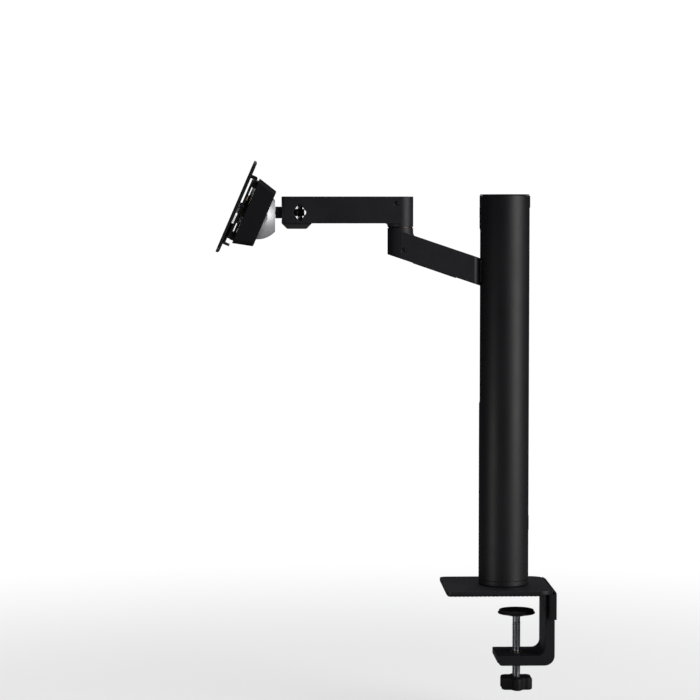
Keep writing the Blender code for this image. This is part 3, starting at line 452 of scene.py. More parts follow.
def make_tool_marks():
    """Turned or drawn metal: fine lines laid across the stretch, with patches of duller surface."""
    tree, given, out = start_group(
        "tool_marks",
        [("Colour", "Color", (0.5, 0.5, 0.5, 1)), ("Roughness", "Float", 0.3), ("Spread", "Float", 0.2),
         ("Stretch", "Vector", (60.0, 60.0, 6000.0))],
        [("Colour", "Color"), ("Roughness", "Float"), ("Height", "Float")],
    )
    where = put(tree, "TexCoord").outputs["Object"]
    drawn = put(tree, "VectorMath", {0: where, 1: given["Stretch"]}, operation="MULTIPLY")
    lines = put(tree, "TexNoise", {"Vector": drawn.outputs[0], "Scale": 1.0, "Detail": 3.0, "Roughness": 0.7})
    patch = put(tree, "TexNoise", {"Vector": where, "Scale": 90.0, "Detail": 5.0})
    both = maths(tree, "ADD", lines.outputs["Fac"], patch.outputs["Fac"])
    share = put(tree, "MapRange", {"Value": both, "From Min": 0.7, "From Max": 1.3}).outputs[0]
    dark = put(tree, "VectorMath", {0: given["Colour"], "Scale": 0.72}, operation="SCALE")
    colour = mixed(tree, share, dark.outputs[0], given["Colour"])
    uneven = maths(tree, "SUBTRACT", 0.5, share)
    rough = maths(tree, "MULTIPLY_ADD", uneven, given["Spread"], given["Roughness"])
    tree.links.new(colour, out["Colour"])
    tree.links.new(rough, out["Roughness"])
    tree.links.new(lines.outputs["Fac"], out["Height"])
    return tree


tool_marks = make_tool_marks()


def worked(name, colour, rough, spread, stretch, bite, **shader_values):
    """A bare metal with the marks of its making."""
    material = bpy.data.materials.new(name)
    material.use_nodes = True
    tree = material.node_tree
    shader = tree.nodes["Principled BSDF"]
    marks = put(tree, "Group", node_tree=tool_marks)
    marks.inputs["Colour"].default_value = (*colour, 1)
    marks.inputs["Roughness"].default_value = rough
    marks.inputs["Spread"].default_value = spread
    marks.inputs["Stretch"].default_value = stretch
    bump = put(tree, "Bump", {"Height": marks.outputs["Height"], "Strength": bite, "Distance": 0.00004})
    tree.links.new(bump.outputs[0], shader.inputs["Normal"])
    tree.links.new(marks.outputs["Colour"], shader.inputs["Base Color"])
    tree.links.new(marks.outputs["Roughness"], shader.inputs["Roughness"])
    shader.inputs["Metallic"].default_value = 1.0
    for key, value in shader_values.items():
        shader.inputs[key.replace("_", " ")].default_value = value
    return material


turned_across = (6000.0, 90.0, 90.0)
turned_deep = (90.0, 6000.0, 90.0)
turned_upright = (90.0, 90.0, 6000.0)
zinc_bolt = worked("zinc_bolt_steel", (0.60, 0.61, 0.63), 0.30, 0.25, turned_deep, 0.3)
upright_steel = worked("turned_steel_upright", (0.58, 0.58, 0.59), 0.28, 0.25, turned_upright, 0.35)
across_steel = worked("turned_steel_across", (0.56, 0.56, 0.57), 0.30, 0.25, turned_across, 0.35)


def hex_socket(name, width, depth, places):
    """A cutter for the key's socket in a screw head: it starts a little above the head."""
    radius = width / math.sqrt(3)
    profile = [(0, -0.0005), (radius, -0.0005), (radius, depth), (0, depth + radius * 0.4)]
    return lathe(name, profile, places, 6)


for side, (x, z) in bolt_spots.items():
    place = [along("-Y", (x, flange_outer, z))]
    bolt = lathe(f"m6_bolt_{side}", eased([(0, 0), (0.0050, 0), (0.0050, 0.0040), (0.0030, 0.0040),
                                           (0.0030, 0.0112), (0, 0.0112)], 0.0005), place, 48)
    carve(bolt, hex_socket("socket", 0.0050, 0.0028, place))
    shade(bolt)
    finish_as(bolt, zinc_bolt, f"bracket_bolt_{side}")

# ---------------------------------------------------------------------------------------------
# Clamp spindle. A rolled M10 screw runs through a pressed-in brass nut in the jaw. A six-lobed
# moulded knob turns it from below, and a swivelling steel foot with a rubber face meets the desk.

desk_thick = 0.025
spindle_r, spindle_end = 0.005, -0.122
at_clamp = Matrix.Translation((0, clamp_y, 0))


def make_spindle():
    """The thread runs up to a plain end that turns in the foot. Its lower tip is chamfered."""
    top, pitch, root = -desk_thick - 0.0048, 0.002, 0.0043
    plain_r, plain_low, tip_r = 0.0046, top - 0.010, 0.0035
    around, rows = 24, []
    count = int((top - spindle_end) / pitch * 8)
    for k in range(count + 1):
        z = spindle_end + (top - spindle_end) * k / count
        row = []
        for i in range(around):
            turn = i / around
            phase = (z / pitch - turn) % 1.0
            wave = min(1.0, max(0.0, 1.35 - 3.4 * abs(phase - 0.5)))
            radius = plain_r if z > plain_low else root + (spindle_r - root) * wave
            radius = min(radius, tip_r + (z - spindle_end) * 1.2)
            row.append((radius * math.cos(2 * math.pi * turn), radius * math.sin(2 * math.pi * turn), z))
        rows.append(row)
    spindle = stack("threaded_spindle", rows, at_clamp)
    return shade(spindle, 50)


finish_as(make_spindle(), worked("rolled_spindle_steel", (0.50, 0.51, 0.53), 0.33, 0.3, turned_upright, 0.2),
          "clamp_screw")

brass_metal = worked("turned_brass", (0.72, 0.52, 0.22), 0.30, 0.25, turned_upright, 0.3)
insert = [(spindle_r + gap, jaw_low - 0.002), (0.0105, jaw_low - 0.002), (0.0105, jaw_low - gap),
          (0.0075, jaw_low - gap), (0.0075, jaw_top), (spindle_r + gap, jaw_top)]
finish_as(shade(lathe("brass_insert", eased(insert, 0.0004), [at_clamp])), brass_metal, "clamp_nut")

black_steel = grained("black_painted_steel", (0.0075, 0.0075, 0.0084), 1.5, 0.42, 0.14, 1900.0, 0.25,
                      rub=0.55, rub_colour=(0.045, 0.045, 0.047), Specular_IOR_Level=0.45)
foot_top = -desk_thick
foot = [(0, foot_top - 0.0025), (0.0225, foot_top - 0.0025), (0.0225, foot_top - 0.0045),
        (0.0165, foot_top - 0.0052), (0.0090, foot_top - 0.0075), (0.0056, foot_top - 0.0075),
        (0.0056, foot_top - 0.0045), (0, foot_top - 0.0045)]
finish_as(shade(lathe("pressed_foot", eased(foot, 0.0008), [at_clamp], 96)), black_steel, "clamp_pad")

face = [(0, foot_top - 0.0022), (0.0210, foot_top - 0.0022), (0.0210, foot_top - 0.0003), (0.0207, foot_top)]
for groove_r in (0.0180, 0.0140, 0.0100, 0.0060):
    face += [(groove_r + 0.0006, foot_top), (groove_r + 0.0002, foot_top - 0.0006),
             (groove_r - 0.0002, foot_top - 0.0006), (groove_r - 0.0006, foot_top)]
face += [(0, foot_top)]
finish_as(shade(lathe("foot_rubber_face", face, [at_clamp], 96)), rubber, "clamp_pad_rubber")

plastic = grained("black_moulded_plastic", (0.0060, 0.0058, 0.0068), 1.6, 0.55, 0.12, 2300.0, 0.4,
                  rub=0.35, rub_colour=(0.022, 0.022, 0.023), Specular_IOR_Level=0.28)


def make_knob():
    """Six lobes, a little deeper between than they stand out, over a profile with eased rims."""
    low, high, mean_r, lobe_r = -0.1210, -0.1060, 0.0185, 0.0022
    edge = [(low, 0.0016), (low + 0.0004, 0.0008), (low + 0.0016, 0.0), (high - 0.0022, 0.0),
            (high - 0.0007, 0.0009), (high, 0.0024)]
    rows = []
    for z, inset in edge:
        row = []
        for i in range(144):
            angle = 2 * math.pi * i / 144
            lobe = math.cos(6 * angle)
            reach = mean_r + lobe_r * (lobe if lobe > 0 else lobe * 1.25) - inset
            row.append((reach * math.cos(angle), reach * math.sin(angle), z))
        rows.append(row)
    knob = stack("clamp_star_knob", rows, at_clamp)
    dish = lathe("dish", eased([(0.0072, low - 0.001), (0.0128, low - 0.001), (0.0120, low + 0.0030),
                                (0.0080, low + 0.0030)], 0.0006), [at_clamp], 72)
    bore = lathe("bore", disc(spindle_r + gap, -0.125, -0.100), [at_clamp], 48)
    carve(knob, dish, bore)
    return shade(knob)


finish_as(make_knob(), plastic, "clamp_knob")

# ---------------------------------------------------------------------------------------------
# Spigot. A turned steel post bolted to the base plate, which the whole pole slips over and turns
# on. Only its foot shows, in the narrow gap under the pole.

spigot = [(0.0043, plate_top + gap), (0.0248, plate_top + gap), (0.0248, 0.0125), (0.018, 0.0125),
          (0.018, 0.0557), (0.0043, 0.0557)]
finish_as(shade(lathe("turned_spigot", eased(spigot, 0.0004), steps=96)), upright_steel, "spigot")

# ---------------------------------------------------------------------------------------------
# Pole. A 60 mm tube with a slot down its front for the carriage. It is cut from extrusion, and
# coated in the same satin black; the rim, the slot and the windows have broken edges.

pole_r, pole_inner_r = 0.030, 0.027
tube_low, pole_top = 0.0131, 0.474
slot_half, slot_low, slot_top = 0.009, 0.225, 0.435
# Lays an outline in an upright plane across the arm, with its thickness along -Y, as the head faces.
face_on = Matrix.Rotation(math.pi / 2, 4, "X")
pole_coat = grained("pole_powder_coat", (0.0050, 0.0050, 0.0062), 1.4, 0.50, 0.10, 1300.0, 0.35,
                    rub=0.4, rub_colour=(0.028, 0.028, 0.030), Specular_IOR_Level=0.45)


def make_pole():
    tube = lathe("pole_extrusion", ring(pole_inner_r, pole_r, tube_low, pole_top), steps=160)
    slot = slab("slot", rounded((-slot_half, slot_low), (slot_half, slot_top), (0.004,) * 4, 8),
                0.005, 0.05, face_on)
    plug = slab("plug", rounded((-0.007, 0.447), (0.007, 0.461), (0.001,) * 4, 4), 0.005, 0.05, face_on)
    port = slab("port", rounded((-0.012, 0.072), (0.012, 0.090), (0.0015,) * 4, 4), -0.05, -0.005, face_on)
    tab = box("tab", (-0.006, 0.005, 0.459), (0.006, 0.05, 0.480))
    carve(tube, slot, plug, port, tab)
    return soften(tube, 0.0003)


finish_as(make_pole(), pole_coat, "pole_tube")
foot_ring = eased(ring(0.0252, pole_r, 0.0069, tube_low - gap), 0.0007)
finish_as(shade(lathe("pole_foot_ring", foot_ring, steps=160)), pole_coat, "pole_foot")

# ---------------------------------------------------------------------------------------------
# Pole cap and covers. The cap, its rear tab, the plug over the slot's fixing screw and the cable
# port's cover are injection-moulded in black plastic, and they snap in.

cap_r = pole_r - 0.0002
cap = [(0, 0.4742), (0.0242, 0.4742), (0.0242, 0.4665), (0.0262, 0.4665), (0.0262, pole_top + gap),
       (cap_r, pole_top + gap), (cap_r, 0.4749), (cap_r - 0.0008, 0.4757), (0, 0.4757)]
finish_as(shade(lathe("pole_top_cap", eased(cap, 0.0003), steps=160), 50), plastic, "pole_cap")


def make_wall_cover(name, inner_r, outer_r, half, low, high, side):
    """A cover that follows the tube's wall, front (-1) or rear (+1)."""
    corner = 0.0012
    room = slab(f"{name}_room", rounded((-half, low), (half, high), (corner,) * 4, 5), 0.005, 0.05, face_on)
    if side > 0:
        room.data.transform(Matrix.Rotation(math.pi, 4, "Z"))
    cover = lathe(name, ring(inner_r, outer_r, low - 0.002, high + 0.002), steps=160)
    trim(cover, room)
    return soften(cover, 0.0003)


wall_covers = [
    ("cap_rear_tab", "cap_tab", pole_inner_r - 0.0001, pole_r + 0.0006, 0.0056, 0.4594, 0.4738, 1),
    ("front_screw_plug", "slot_plug", pole_inner_r, pole_r + 0.0001, 0.0066, 0.4474, 0.4606, -1),
    ("cable_port_cover", "port_cover", pole_inner_r, pole_r + gap, 0.0116, 0.0724, 0.0896, 1),
]
for name, node, inner_r, outer_r, half, low, high, side in wall_covers:
    finish_as(make_wall_cover(name, inner_r, outer_r, half, low, high, side), plastic, node)

# ---------------------------------------------------------------------------------------------
# Guide rods and their holders. Two ground steel rods stand inside the pole, in moulded nylon
# holders. The nylon bushes that the pole turns on sit around the spigot. Most of this is hidden.

rod_x, rod_y, rod_r = 0.013, -0.007, 0.003
nylon = grained("natural_nylon", (0.66, 0.64, 0.58), 1.1, 0.46, 0.12, 700.0, 0.2, Subsurface_Weight=0.08)
rod_steel = worked("ground_rod_steel", (0.62, 0.62, 0.64), 0.18, 0.15, turned_upright, 0.15)
rod = eased(disc(rod_r, 0.206, 0.454), 0.0006)
for side, x in (("left", -rod_x), ("right", rod_x)):
    finish_as(shade(lathe(f"ground_rod_{side}", rod, [along("Z", (x, rod_y, 0))], 40)), rod_steel,
              f"guide_rod_{side}")


def dress_node(node, finish):
    """A plain solid whose shape is right keeps its mesh and gets its finish."""
    obj = frame["nodes"][node]
    obj.data.materials.clear()
    obj.data.materials.append(finish)


for node in ("rail_holder_top", "rail_holder_bottom", "swivel_bush_lower", "swivel_bush_upper",
             "carriage_glide_left", "carriage_glide_right", "elbow_bush"):
    dress_node(node, nylon)
dress_node("spigot_bolt", upright_steel)

# ---------------------------------------------------------------------------------------------
# Constant-force spring. A strip of hardened spring steel is wound on a nylon drum behind the top
# of the slot. Its free end is held by the carriage, and it carries the weight of the arm.

drum_y, drum_z = 0.014, 0.428
at_drum = along("X", (0, drum_y, drum_z))
spring_steel = worked("blued_spring_steel", (0.30, 0.33, 0.38), 0.24, 0.2, (3000.0, 60.0, 60.0), 0.2)
half, flange = 0.0083, 0.0009
spool = [(0.0028, -half), (0.0100, -half), (0.0100, -half + flange), (0.0062, -half + flange),
         (0.0062, half - flange), (0.0100, half - flange), (0.0100, half), (0.0028, half)]
finish_as(shade(lathe("nylon_drum", eased(spool, 0.00025), [at_drum])), nylon, "spring_drum")


def make_coil():
    """The strip's turns, drawn as one tight spiral."""
    turns, per_turn, thick, half_width = 9, 48, 0.00022, 0.0068
    first_r, growth = 0.00655, 0.0027
    spots = []
    for i in range(turns * per_turn + 1):
        angle = 2 * math.pi * i / per_turn
        spots.append((first_r + growth * i / (turns * per_turn), math.cos(angle), math.sin(angle)))
    bm = bmesh.new()
    rows = []
    for height in (-half_width, half_width):
        for side in (-thick / 2, thick / 2):
            rows.append([bm.verts.new(((r + side) * x, (r + side) * y, height)) for r, x, y in spots])
    in_a, out_a, in_b, out_b = rows
    for i in range(len(spots) - 1):
        j = i + 1
        bm.faces.new((in_a[i], in_a[j], in_b[j], in_b[i]))
        bm.faces.new((out_a[i], out_b[i], out_b[j], out_a[j]))
        bm.faces.new((in_a[i], out_a[i], out_a[j], in_a[j]))
        bm.faces.new((in_b[i], in_b[j], out_b[j], out_b[i]))
    for i in (0, len(spots) - 1):
        bm.faces.new((in_a[i], in_b[i], out_b[i], out_a[i]))
    return shade(solid("wound_spring", bm, at_drum))


finish_as(make_coil(), spring_steel, "spring_coil")


def make_strip():
    """The free length, bowed a little across its width as such strip is."""
    low, high, thick, bow = 0.3590, drum_z, 0.00025, 0.0001
    half_width, rear = 0.0065, 0.00395
    rows = []
    for k in range(25):
        z = low + (high - low) * k / 24
        spots = []
        for i in range(9):
            across = i / 4 - 1
            spots.append((half_width * across, rear - bow * (1 - across ** 2), z))
        spots += [(x, y - thick, z) for x, y, z in reversed(spots)]
        rows.append(spots)
    strip = shade(stack("spring_free_strip", rows))
    strip.data.materials.append(spring_steel)
    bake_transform(strip)
    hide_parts("spring_strip")


make_strip()
dress_node("drum_bracket", across_steel)

# ---------------------------------------------------------------------------------------------
# Carriage. A die-cast block that rides on the rods on nylon glides, with a neck that reaches out
# through the slot to the lower arm. It is left as cast, and one long bolt holds the arm to it.

cast_alloy = grained("die_cast_alloy", (0.36, 0.36, 0.37), 1.35, 0.46, 0.2, 800.0, 0.7, Metallic=1.0)
dress_node("carriage", cast_alloy)
dress_node("arm_bolt", across_steel)

# ---------------------------------------------------------------------------------------------
# Lower arm. An aluminium casting with a saddle that clears the pole, a flat bar that climbs to the
# elbow, and a round boss there. It is powder-coated, and a snap-in plastic lid closes its underside.

link_half = 0.0154
elbow_y = -0.125
slope = math.radians(19)
root_low, root_top = 0.366, 0.399
root_face, root_round = -0.0315, 0.007
elbow_top = 0.4355
neck_low, neck_top = 0.3713, 0.3962
arm_bolt_z = 0.384
at_elbow = along("Z", (0, elbow_y, 0))
sloped = Matrix.Translation((0, -0.031, (root_low + root_top) / 2)) @ Matrix.Rotation(-slope, 4, "X")
arm_coat = grained("arm_powder_coat", (0.0086, 0.0082, 0.0108), 1.55, 0.50, 0.12, 1400.0, 0.5,
                   rub=0.5, rub_colour=(0.032, 0.032, 0.034), Specular_IOR_Level=0.42)


def make_lower_arm():
    root, far, rise = -0.024, -0.145, math.tan(slope)
    inner, turn_y = link_half - root_round, root_face - root_round
    outline = [(inner, root)] + arc((inner, turn_y), root_round, 90, 0, 12)
    outline += arc((0, elbow_y), link_half, 0, -180, 48)
    outline += arc((-inner, turn_y), root_round, 180, 90, 12) + [(-inner, root)]
    arm = slab("lower_arm_casting", outline[::-1], 0.355, elbow_top)
    top_at_root = root_top - (root + pole_r) * rise
    low_at_root = root_low - (root + pole_r) * rise
    side = [(root + 0.002, low_at_root), (far, low_at_root + (root - far) * rise),
            (far, top_at_root + (root - far) * rise), (root + 0.002, top_at_root)]
    band = slab("band", side, -0.02, 0.02, side_on)
    boss_r, fillet = link_half - 0.00005, 0.0075
    boss = lathe("boss", disc(boss_r, 0.415, elbow_top), [at_elbow], 96)
    flare = [(0, 0.416), (boss_r + fillet, 0.416)]
    flare += arc((boss_r + fillet, 0.4309), fillet, 270, 188, 10)
    flare += [(boss_r - 0.002, 0.4320), (0, 0.4320)]
    flare = lathe("flare", flare, [at_elbow], 96)
    trim(flare, box("flare_room", (-link_half + gap, elbow_y, 0.41), (link_half - gap, -0.09, 0.44)))
    trim(arm, band)
    weld(arm, boss, flare)
    pin_sink = [(r, z + 0.380) for r, z in [(0, 0), (0.0084, 0), (0.0084, 0.025), (0.0063, 0.025),
                                            (0.0063, 0.060), (0, 0.060)]]
    carve(
        arm,
        lathe("saddle", disc(pole_r + 0.0008, 0.34, 0.44), steps=160),
        box("neck_pocket", (-0.0073, -0.0373, neck_low - gap), (0.0073, -0.020, neck_top + gap)),
        lathe("bolt_hole", disc(0.0033, 0.03, 0.0530), [along("-Y", (0, 0, arm_bolt_z))], 32),
        lathe("pin_sink", pin_sink, [at_elbow], 64),
        lathe("set_hole", [(0, 0), (0.0028, 0), (0.0028, 0.0048), (0.0032, 0.006), (0, 0.006)],
              [along("X", (link_half - 0.005, -0.1216, 0.409))], 40),
        box("trough", (-0.009, -0.078, -0.0175), (0.009, -0.024, -0.0103), sloped),
    )
    # The boss and the fillet round it run smoothly into the arm, so nothing is rounded there.
    return soften(arm, 0.0006, 3, 30, lambda at: at.z < 0.4140 or at.y > elbow_y + link_half + 0.009)


finish_as(make_lower_arm(), arm_coat, "lower_arm")
under = (root_top - root_low) / 2 * math.cos(slope)
lid_outline = rounded((-0.0087, -0.0777), (0.0087, -0.0243), (0.0003,) * 4, 2)
lower_lid = slab("lower_arm_lid", lid_outline, -under, -under + 0.002, sloped)
finish_as(soften(lower_lid, 0.0003), plastic, "lower_arm_cover")

# ---------------------------------------------------------------------------------------------
# Set screws. A small socket screw in the side of each arm sets how stiffly it turns. It is turned
# from alloy steel with a black oxide, and it sits a little below the arm's face.

oxide_screw = worked("black_oxide_screw", (0.085, 0.085, 0.09), 0.34, 0.2, turned_across, 0.25)


def make_set_screw(name, y, z, reach, length):
    place = [along("-X", (reach, y, z))]
    screw = lathe(name, eased(disc(0.0025, 0, length), 0.0004), place, 40)
    carve(screw, hex_socket("socket", 0.0025, 0.0015, place))
    return shade(screw)


lower_screw = make_set_screw("lower_grub_screw", -0.1216, 0.409, link_half - 0.0004, 0.0042)
finish_as(lower_screw, oxide_screw, "lower_set_screw")
upper_screw = make_set_screw("upper_grub_screw", elbow_y - 0.0056, 0.465, link_half - 0.0003, 0.0028)
finish_as(upper_screw, oxide_screw, "upper_set_screw")

# ---------------------------------------------------------------------------------------------
# Elbow joint. A hardened shoulder pin goes up through both arms. A bronze washer keeps them
# a millimetre apart, and its colour is darkened as painted shade for the narrow gap it sits in.
# A nut inside holds them, and a flush plastic cap closes the top.

boss_low = 0.4367
pin = [(0, 0.4015), (0.0080, 0.4015), (0.0080, 0.4047), (0.0060, 0.4047), (0.0060, 0.4640), (0, 0.4640)]
elbow_pin = lathe("elbow_shoulder_pin", eased(pin, 0.0005), [at_elbow], 64)
carve(elbow_pin, hex_socket("socket", 0.0060, 0.0024, [along("Z", (0, elbow_y, 0.4015))]))
finish_as(shade(elbow_pin), upright_steel, "elbow_pin")
washer = ring(0.0063, 0.0143, elbow_top + 0.00005, boss_low - 0.00005)
# The washer's dark bronze colour is painted shade: it stands for the shadow in the gap between the arms.
gap_shade_bronze = worked("bronze_darkened_as_gap_shade", (0.11, 0.080, 0.050), 0.42, 0.2, turned_upright, 0.2)
finish_as(shade(lathe("elbow_bronze_washer", eased(washer, 0.0002), [at_elbow], 96)), gap_shade_bronze,
          "elbow_washer")
dress_node("elbow_nut", zinc_bolt)
elbow_lid = lathe("elbow_top_cap", eased(disc(0.0101, 0.4700, 0.4728), 0.0004), [at_elbow], 96)
finish_as(shade(elbow_lid), plastic, "elbow_cap")

# ---------------------------------------------------------------------------------------------
# Upper arm. A level aluminium casting with a round boss at the elbow, and a square end with a
# pocket that the neck swings in. A diamond window in each side shows the pan pin.

upper_low, upper_top = 0.441, 0.473
pan_y = -0.245
arm_end = elbow_y - 0.142
pocket_low, pocket_top = 0.4465, 0.4615


def make_upper_arm():
    outline = rounded((-link_half, arm_end), (link_half, elbow_y), (0.0035, 0.0035, 0, 0), 8)[:18]
    outline += arc((0, elbow_y), link_half, 0, 180, 48)
    arm = slab("upper_arm_casting", outline, upper_low, upper_top)
    boss_r, fillet = link_half - 0.00005, 0.0040
    boss = lathe("boss", disc(boss_r, boss_low, upper_low + 0.004), [at_elbow], 96)
    flare = [(0, boss_low + 0.0006), (boss_r - 0.001, boss_low + 0.0006)]
    flare += arc((boss_r + fillet, upper_low - fillet + 0.0003), fillet, 170, 90, 8)
    flare += [(boss_r + fillet, upper_low + 0.003), (0, upper_low + 0.003)]
    flare = lathe("flare", flare, [at_elbow], 96)
    trim(flare, box("flare_room", (-link_half + gap, elbow_y - 0.04, 0.43), (link_half - gap, elbow_y, 0.45)))
    weld(arm, boss, flare)
    mouth, back = 0.0136, 0.0112
    pocket = [(-back, pan_y + 0.012), (back, pan_y + 0.012),
              (mouth, arm_end - 0.002), (-mouth, arm_end - 0.002)]
    y, z = pan_y - 0.0005, 0.454
    diamond = [(y - 0.008, z - 0.001), (y - 0.001, z - 0.010), (y + 0.001, z - 0.010), (y + 0.008, z - 0.001),
               (y + 0.008, z + 0.001), (y + 0.001, z + 0.010), (y - 0.001, z + 0.010), (y - 0.008, z + 0.001)]
    carve(
        arm,
        lathe("bore", disc(0.0088, 0.43, 0.46), [at_elbow], 64),
        lathe("well", disc(0.0104, 0.4552, 0.48), [at_elbow], 96),
        slab("pocket", pocket[::-1], pocket_low, pocket_top),
        slab("window", diamond, -0.02, 0.02, side_on),
        lathe("pin_hole", disc(0.0033, 0.43, 0.4700), [along("Z", (0, pan_y, 0))], 40),
        lathe("set_hole", [(0, 0), (0.0028, 0), (0.0028, 0.0033), (0.0032, 0.0045), (0, 0.0045)],
              [along("X", (link_half - 0.0035, elbow_y - 0.0056, 0.465))], 40),
        box("trough", (-0.010, elbow_y - 0.098, 0.438), (0.010, elbow_y - 0.024, 0.4464)),
    )
    return soften(arm, 0.0005, 3, 30,
                  lambda at: at.z > upper_low + 0.005 or at.y < elbow_y - link_half - 0.006)


finish_as(make_upper_arm(), arm_coat, "upper_arm")
lid_outline = rounded((-0.0097, elbow_y - 0.0977), (0.0097, elbow_y - 0.0243), (0.0003,) * 4, 2)
upper_lid = slab("upper_arm_lid", lid_outline, upper_low, upper_low + 0.002)
finish_as(soften(upper_lid, 0.0003), plastic, "upper_arm_cover")

# ---------------------------------------------------------------------------------------------
# Pan pin and its housing. A bright pin stands through the pocket and carries the neck. Its head
# sits in a small moulded housing, dark grey, that is screwed under the arm's end.

at_pan = along("Z", (0, pan_y, 0))
pin = [(0, 0.4370), (0.0060, 0.4370), (0.0060, upper_low - gap), (0.0030, upper_low - gap), (0.0030, 0.4695),
       (0, 0.4695)]
bright_pin = worked("polished_pin_steel", (0.66, 0.66, 0.67), 0.16, 0.15, turned_upright, 0.2)
finish_as(shade(lathe("pan_bright_pin", eased(pin, 0.0003), [at_pan], 48)), bright_pin, "pan_pin")
grey_plastic = grained("dark_grey_moulded_plastic", (0.0150, 0.0150, 0.0162), 1.5, 0.55, 0.12, 1900.0, 0.5,
                       rub=0.4, rub_colour=(0.035, 0.035, 0.036), Specular_IOR_Level=0.45)


def make_pan_housing():
    low, high = 0.4345, upper_low - gap / 10
    slant, back = high - low, arm_end + 0.036
    outline = [(arm_end + slant, low), (back - slant, low), (back, high), (arm_end, high)]
    housing = slab("pan_housing", outline, -0.0125, 0.0125, side_on)
    carve(housing, lathe("head_room", disc(0.0066, 0.4365, 0.445), [at_pan], 64))
    soften(housing, 0.0006, 3, 30)
    return finish_as(housing, grey_plastic, "pan_cover")


make_pan_housing()

# ---------------------------------------------------------------------------------------------
# Neck. A small steel forging: a knuckle on the pan pin and a blade that carries the ball. It is
# painted black, and one screw from inside the ball holds the two together.

knuckle = lathe("neck_forging", ring(0.0033, 0.0053, 0.4498, 0.4582), [at_pan], 64)
tongue = box("tongue", (-0.0033, pan_y - 0.016, 0.44982), (0.0033, pan_y - 0.0042, 0.45818))
blade = box("blade", (-0.0034, pan_y - 0.0295, 0.4470), (0.0034, pan_y - 0.0125, 0.4610))
weld(knuckle, tongue, blade)
carve(knuckle, lathe("screw_hole", disc(0.0023, 0.0180, 0.0310), [along("-Y", (0, pan_y, 0.454))], 32))
finish_as(soften(knuckle, 0.0005, 3, 35), black_steel, "neck")
dress_node("neck_bolt", zinc_bolt)

# ---------------------------------------------------------------------------------------------
# Ball housing. A die-cast half ball with a barrel through it for the tilt shaft, painted in
# silver with a fine metal flake. It is flat behind, where the neck is screwed on.

ball_y, ball_z, ball_r = -0.2956, 0.450, 0.028
ball_at = Vector((0, ball_y, ball_z))
across_ball = along("X", ball_at)


def make_silver_paint():
    """Flakes catch the light one by one under a clear coat, over slow drifts in the spray."""
    material = bpy.data.materials.new("silver_flake_paint")
    material.use_nodes = True
    tree = material.node_tree
    shader = tree.nodes["Principled BSDF"]
    where = put(tree, "TexCoord").outputs["Object"]
    flakes = put(tree, "TexVoronoi", {"Vector": where, "Scale": 5200.0})
    drift = put(tree, "TexNoise", {"Vector": where, "Scale": 45.0, "Detail": 3.0})
    each = put(tree, "SeparateColor", {"Color": flakes.outputs["Color"]})
    bright = put(tree, "MapRange", {"Value": each.outputs[0], "To Min": 0.0, "To Max": 1.0})
    colour = mixed(tree, bright.outputs[0], (0.56, 0.56, 0.57, 1), (0.86, 0.86, 0.87, 1))
    rough = put(tree, "MapRange", {"Value": drift.outputs["Fac"], "From Min": 0.3, "From Max": 0.7,
                                   "To Min": 0.50, "To Max": 0.58})
    bump = put(tree, "Bump", {"Height": each.outputs[1], "Strength": 0.12, "Distance": 0.00004})
    tree.links.new(colour, shader.inputs["Base Color"])
    tree.links.new(rough.outputs[0], shader.inputs["Roughness"])
    tree.links.new(bump.outputs[0], shader.inputs["Normal"])
    shader.inputs["Metallic"].default_value = 0.6
    shader.inputs["Coat Weight"].default_value = 0.25
    shader.inputs["Coat Roughness"].default_value = 0.2
    return material


def sphere(name, radius, place, around, rows):
    bm = bmesh.new()
    bmesh.ops.create_uvsphere(bm, u_segments=around, v_segments=rows, radius=radius, matrix=place)
    return solid(name, bm)


def make_ball():
    ball = sphere("silver_ball", ball_r, along("-Y", ball_at), 128, 64)
    hollow = sphere("hollow", 0.0245, along("-Y", ball_at), 64, 32)
    carve(hollow, box("rear_wall", (-0.03, ball_y + 0.0168, 0.41), (0.03, ball_y + 0.05, 0.49)))
    barrel_half, shy = 0.0255, 0.00005
    carve(
        ball, hollow,
        box("rear", (-0.03, ball_y + 0.0208, 0.41), (0.03, ball_y + 0.05, 0.49)),
        box("front", (-0.03, ball_y - 0.05, 0.41), (0.03, ball_y - 0.0034, 0.49)),
        box("cheek", (barrel_half, ball_y - 0.03, 0.41), (0.04, ball_y + 0.03, 0.49)),
        box("cheek", (-0.04, ball_y - 0.03, 0.41), (-barrel_half, ball_y + 0.03, 0.49)),
    )
    weld(ball, lathe("barrel", disc(0.0110, shy - barrel_half, barrel_half - shy), [across_ball], 96))
    carve(ball, lathe("bore", disc(0.0048, -0.035, 0.035), [across_ball], 64),
          lathe("screw_hole", disc(0.0023, 0.028, 0.040), [along("-Y", (0, pan_y, 0.454))], 32))
    return soften(ball, 0.0004, 2, 30)


finish_as(make_ball(), make_silver_paint(), "ball_housing")

# ---------------------------------------------------------------------------------------------
# Tilt yoke. A pressed steel yoke whose ears hold the tilt shaft beside the ball, with a round web
# in front for the pivot pin. Brass discs give the tilt its drag. All of it sits inside the cover.

tilt_angle = math.radians(23.4)
head_at = Matrix.Translation(ball_at) @ Matrix.Rotation(-tilt_angle, 4, "X")
ear_in, ear_out = 0.029, 0.0312
web_rear, web_front = 0.0156, 0.0186


def facing(at=(0, 0, 0)):
    """Lays a turned shape's Z along the head's own normal."""
    return head_at @ along("-Y", at)


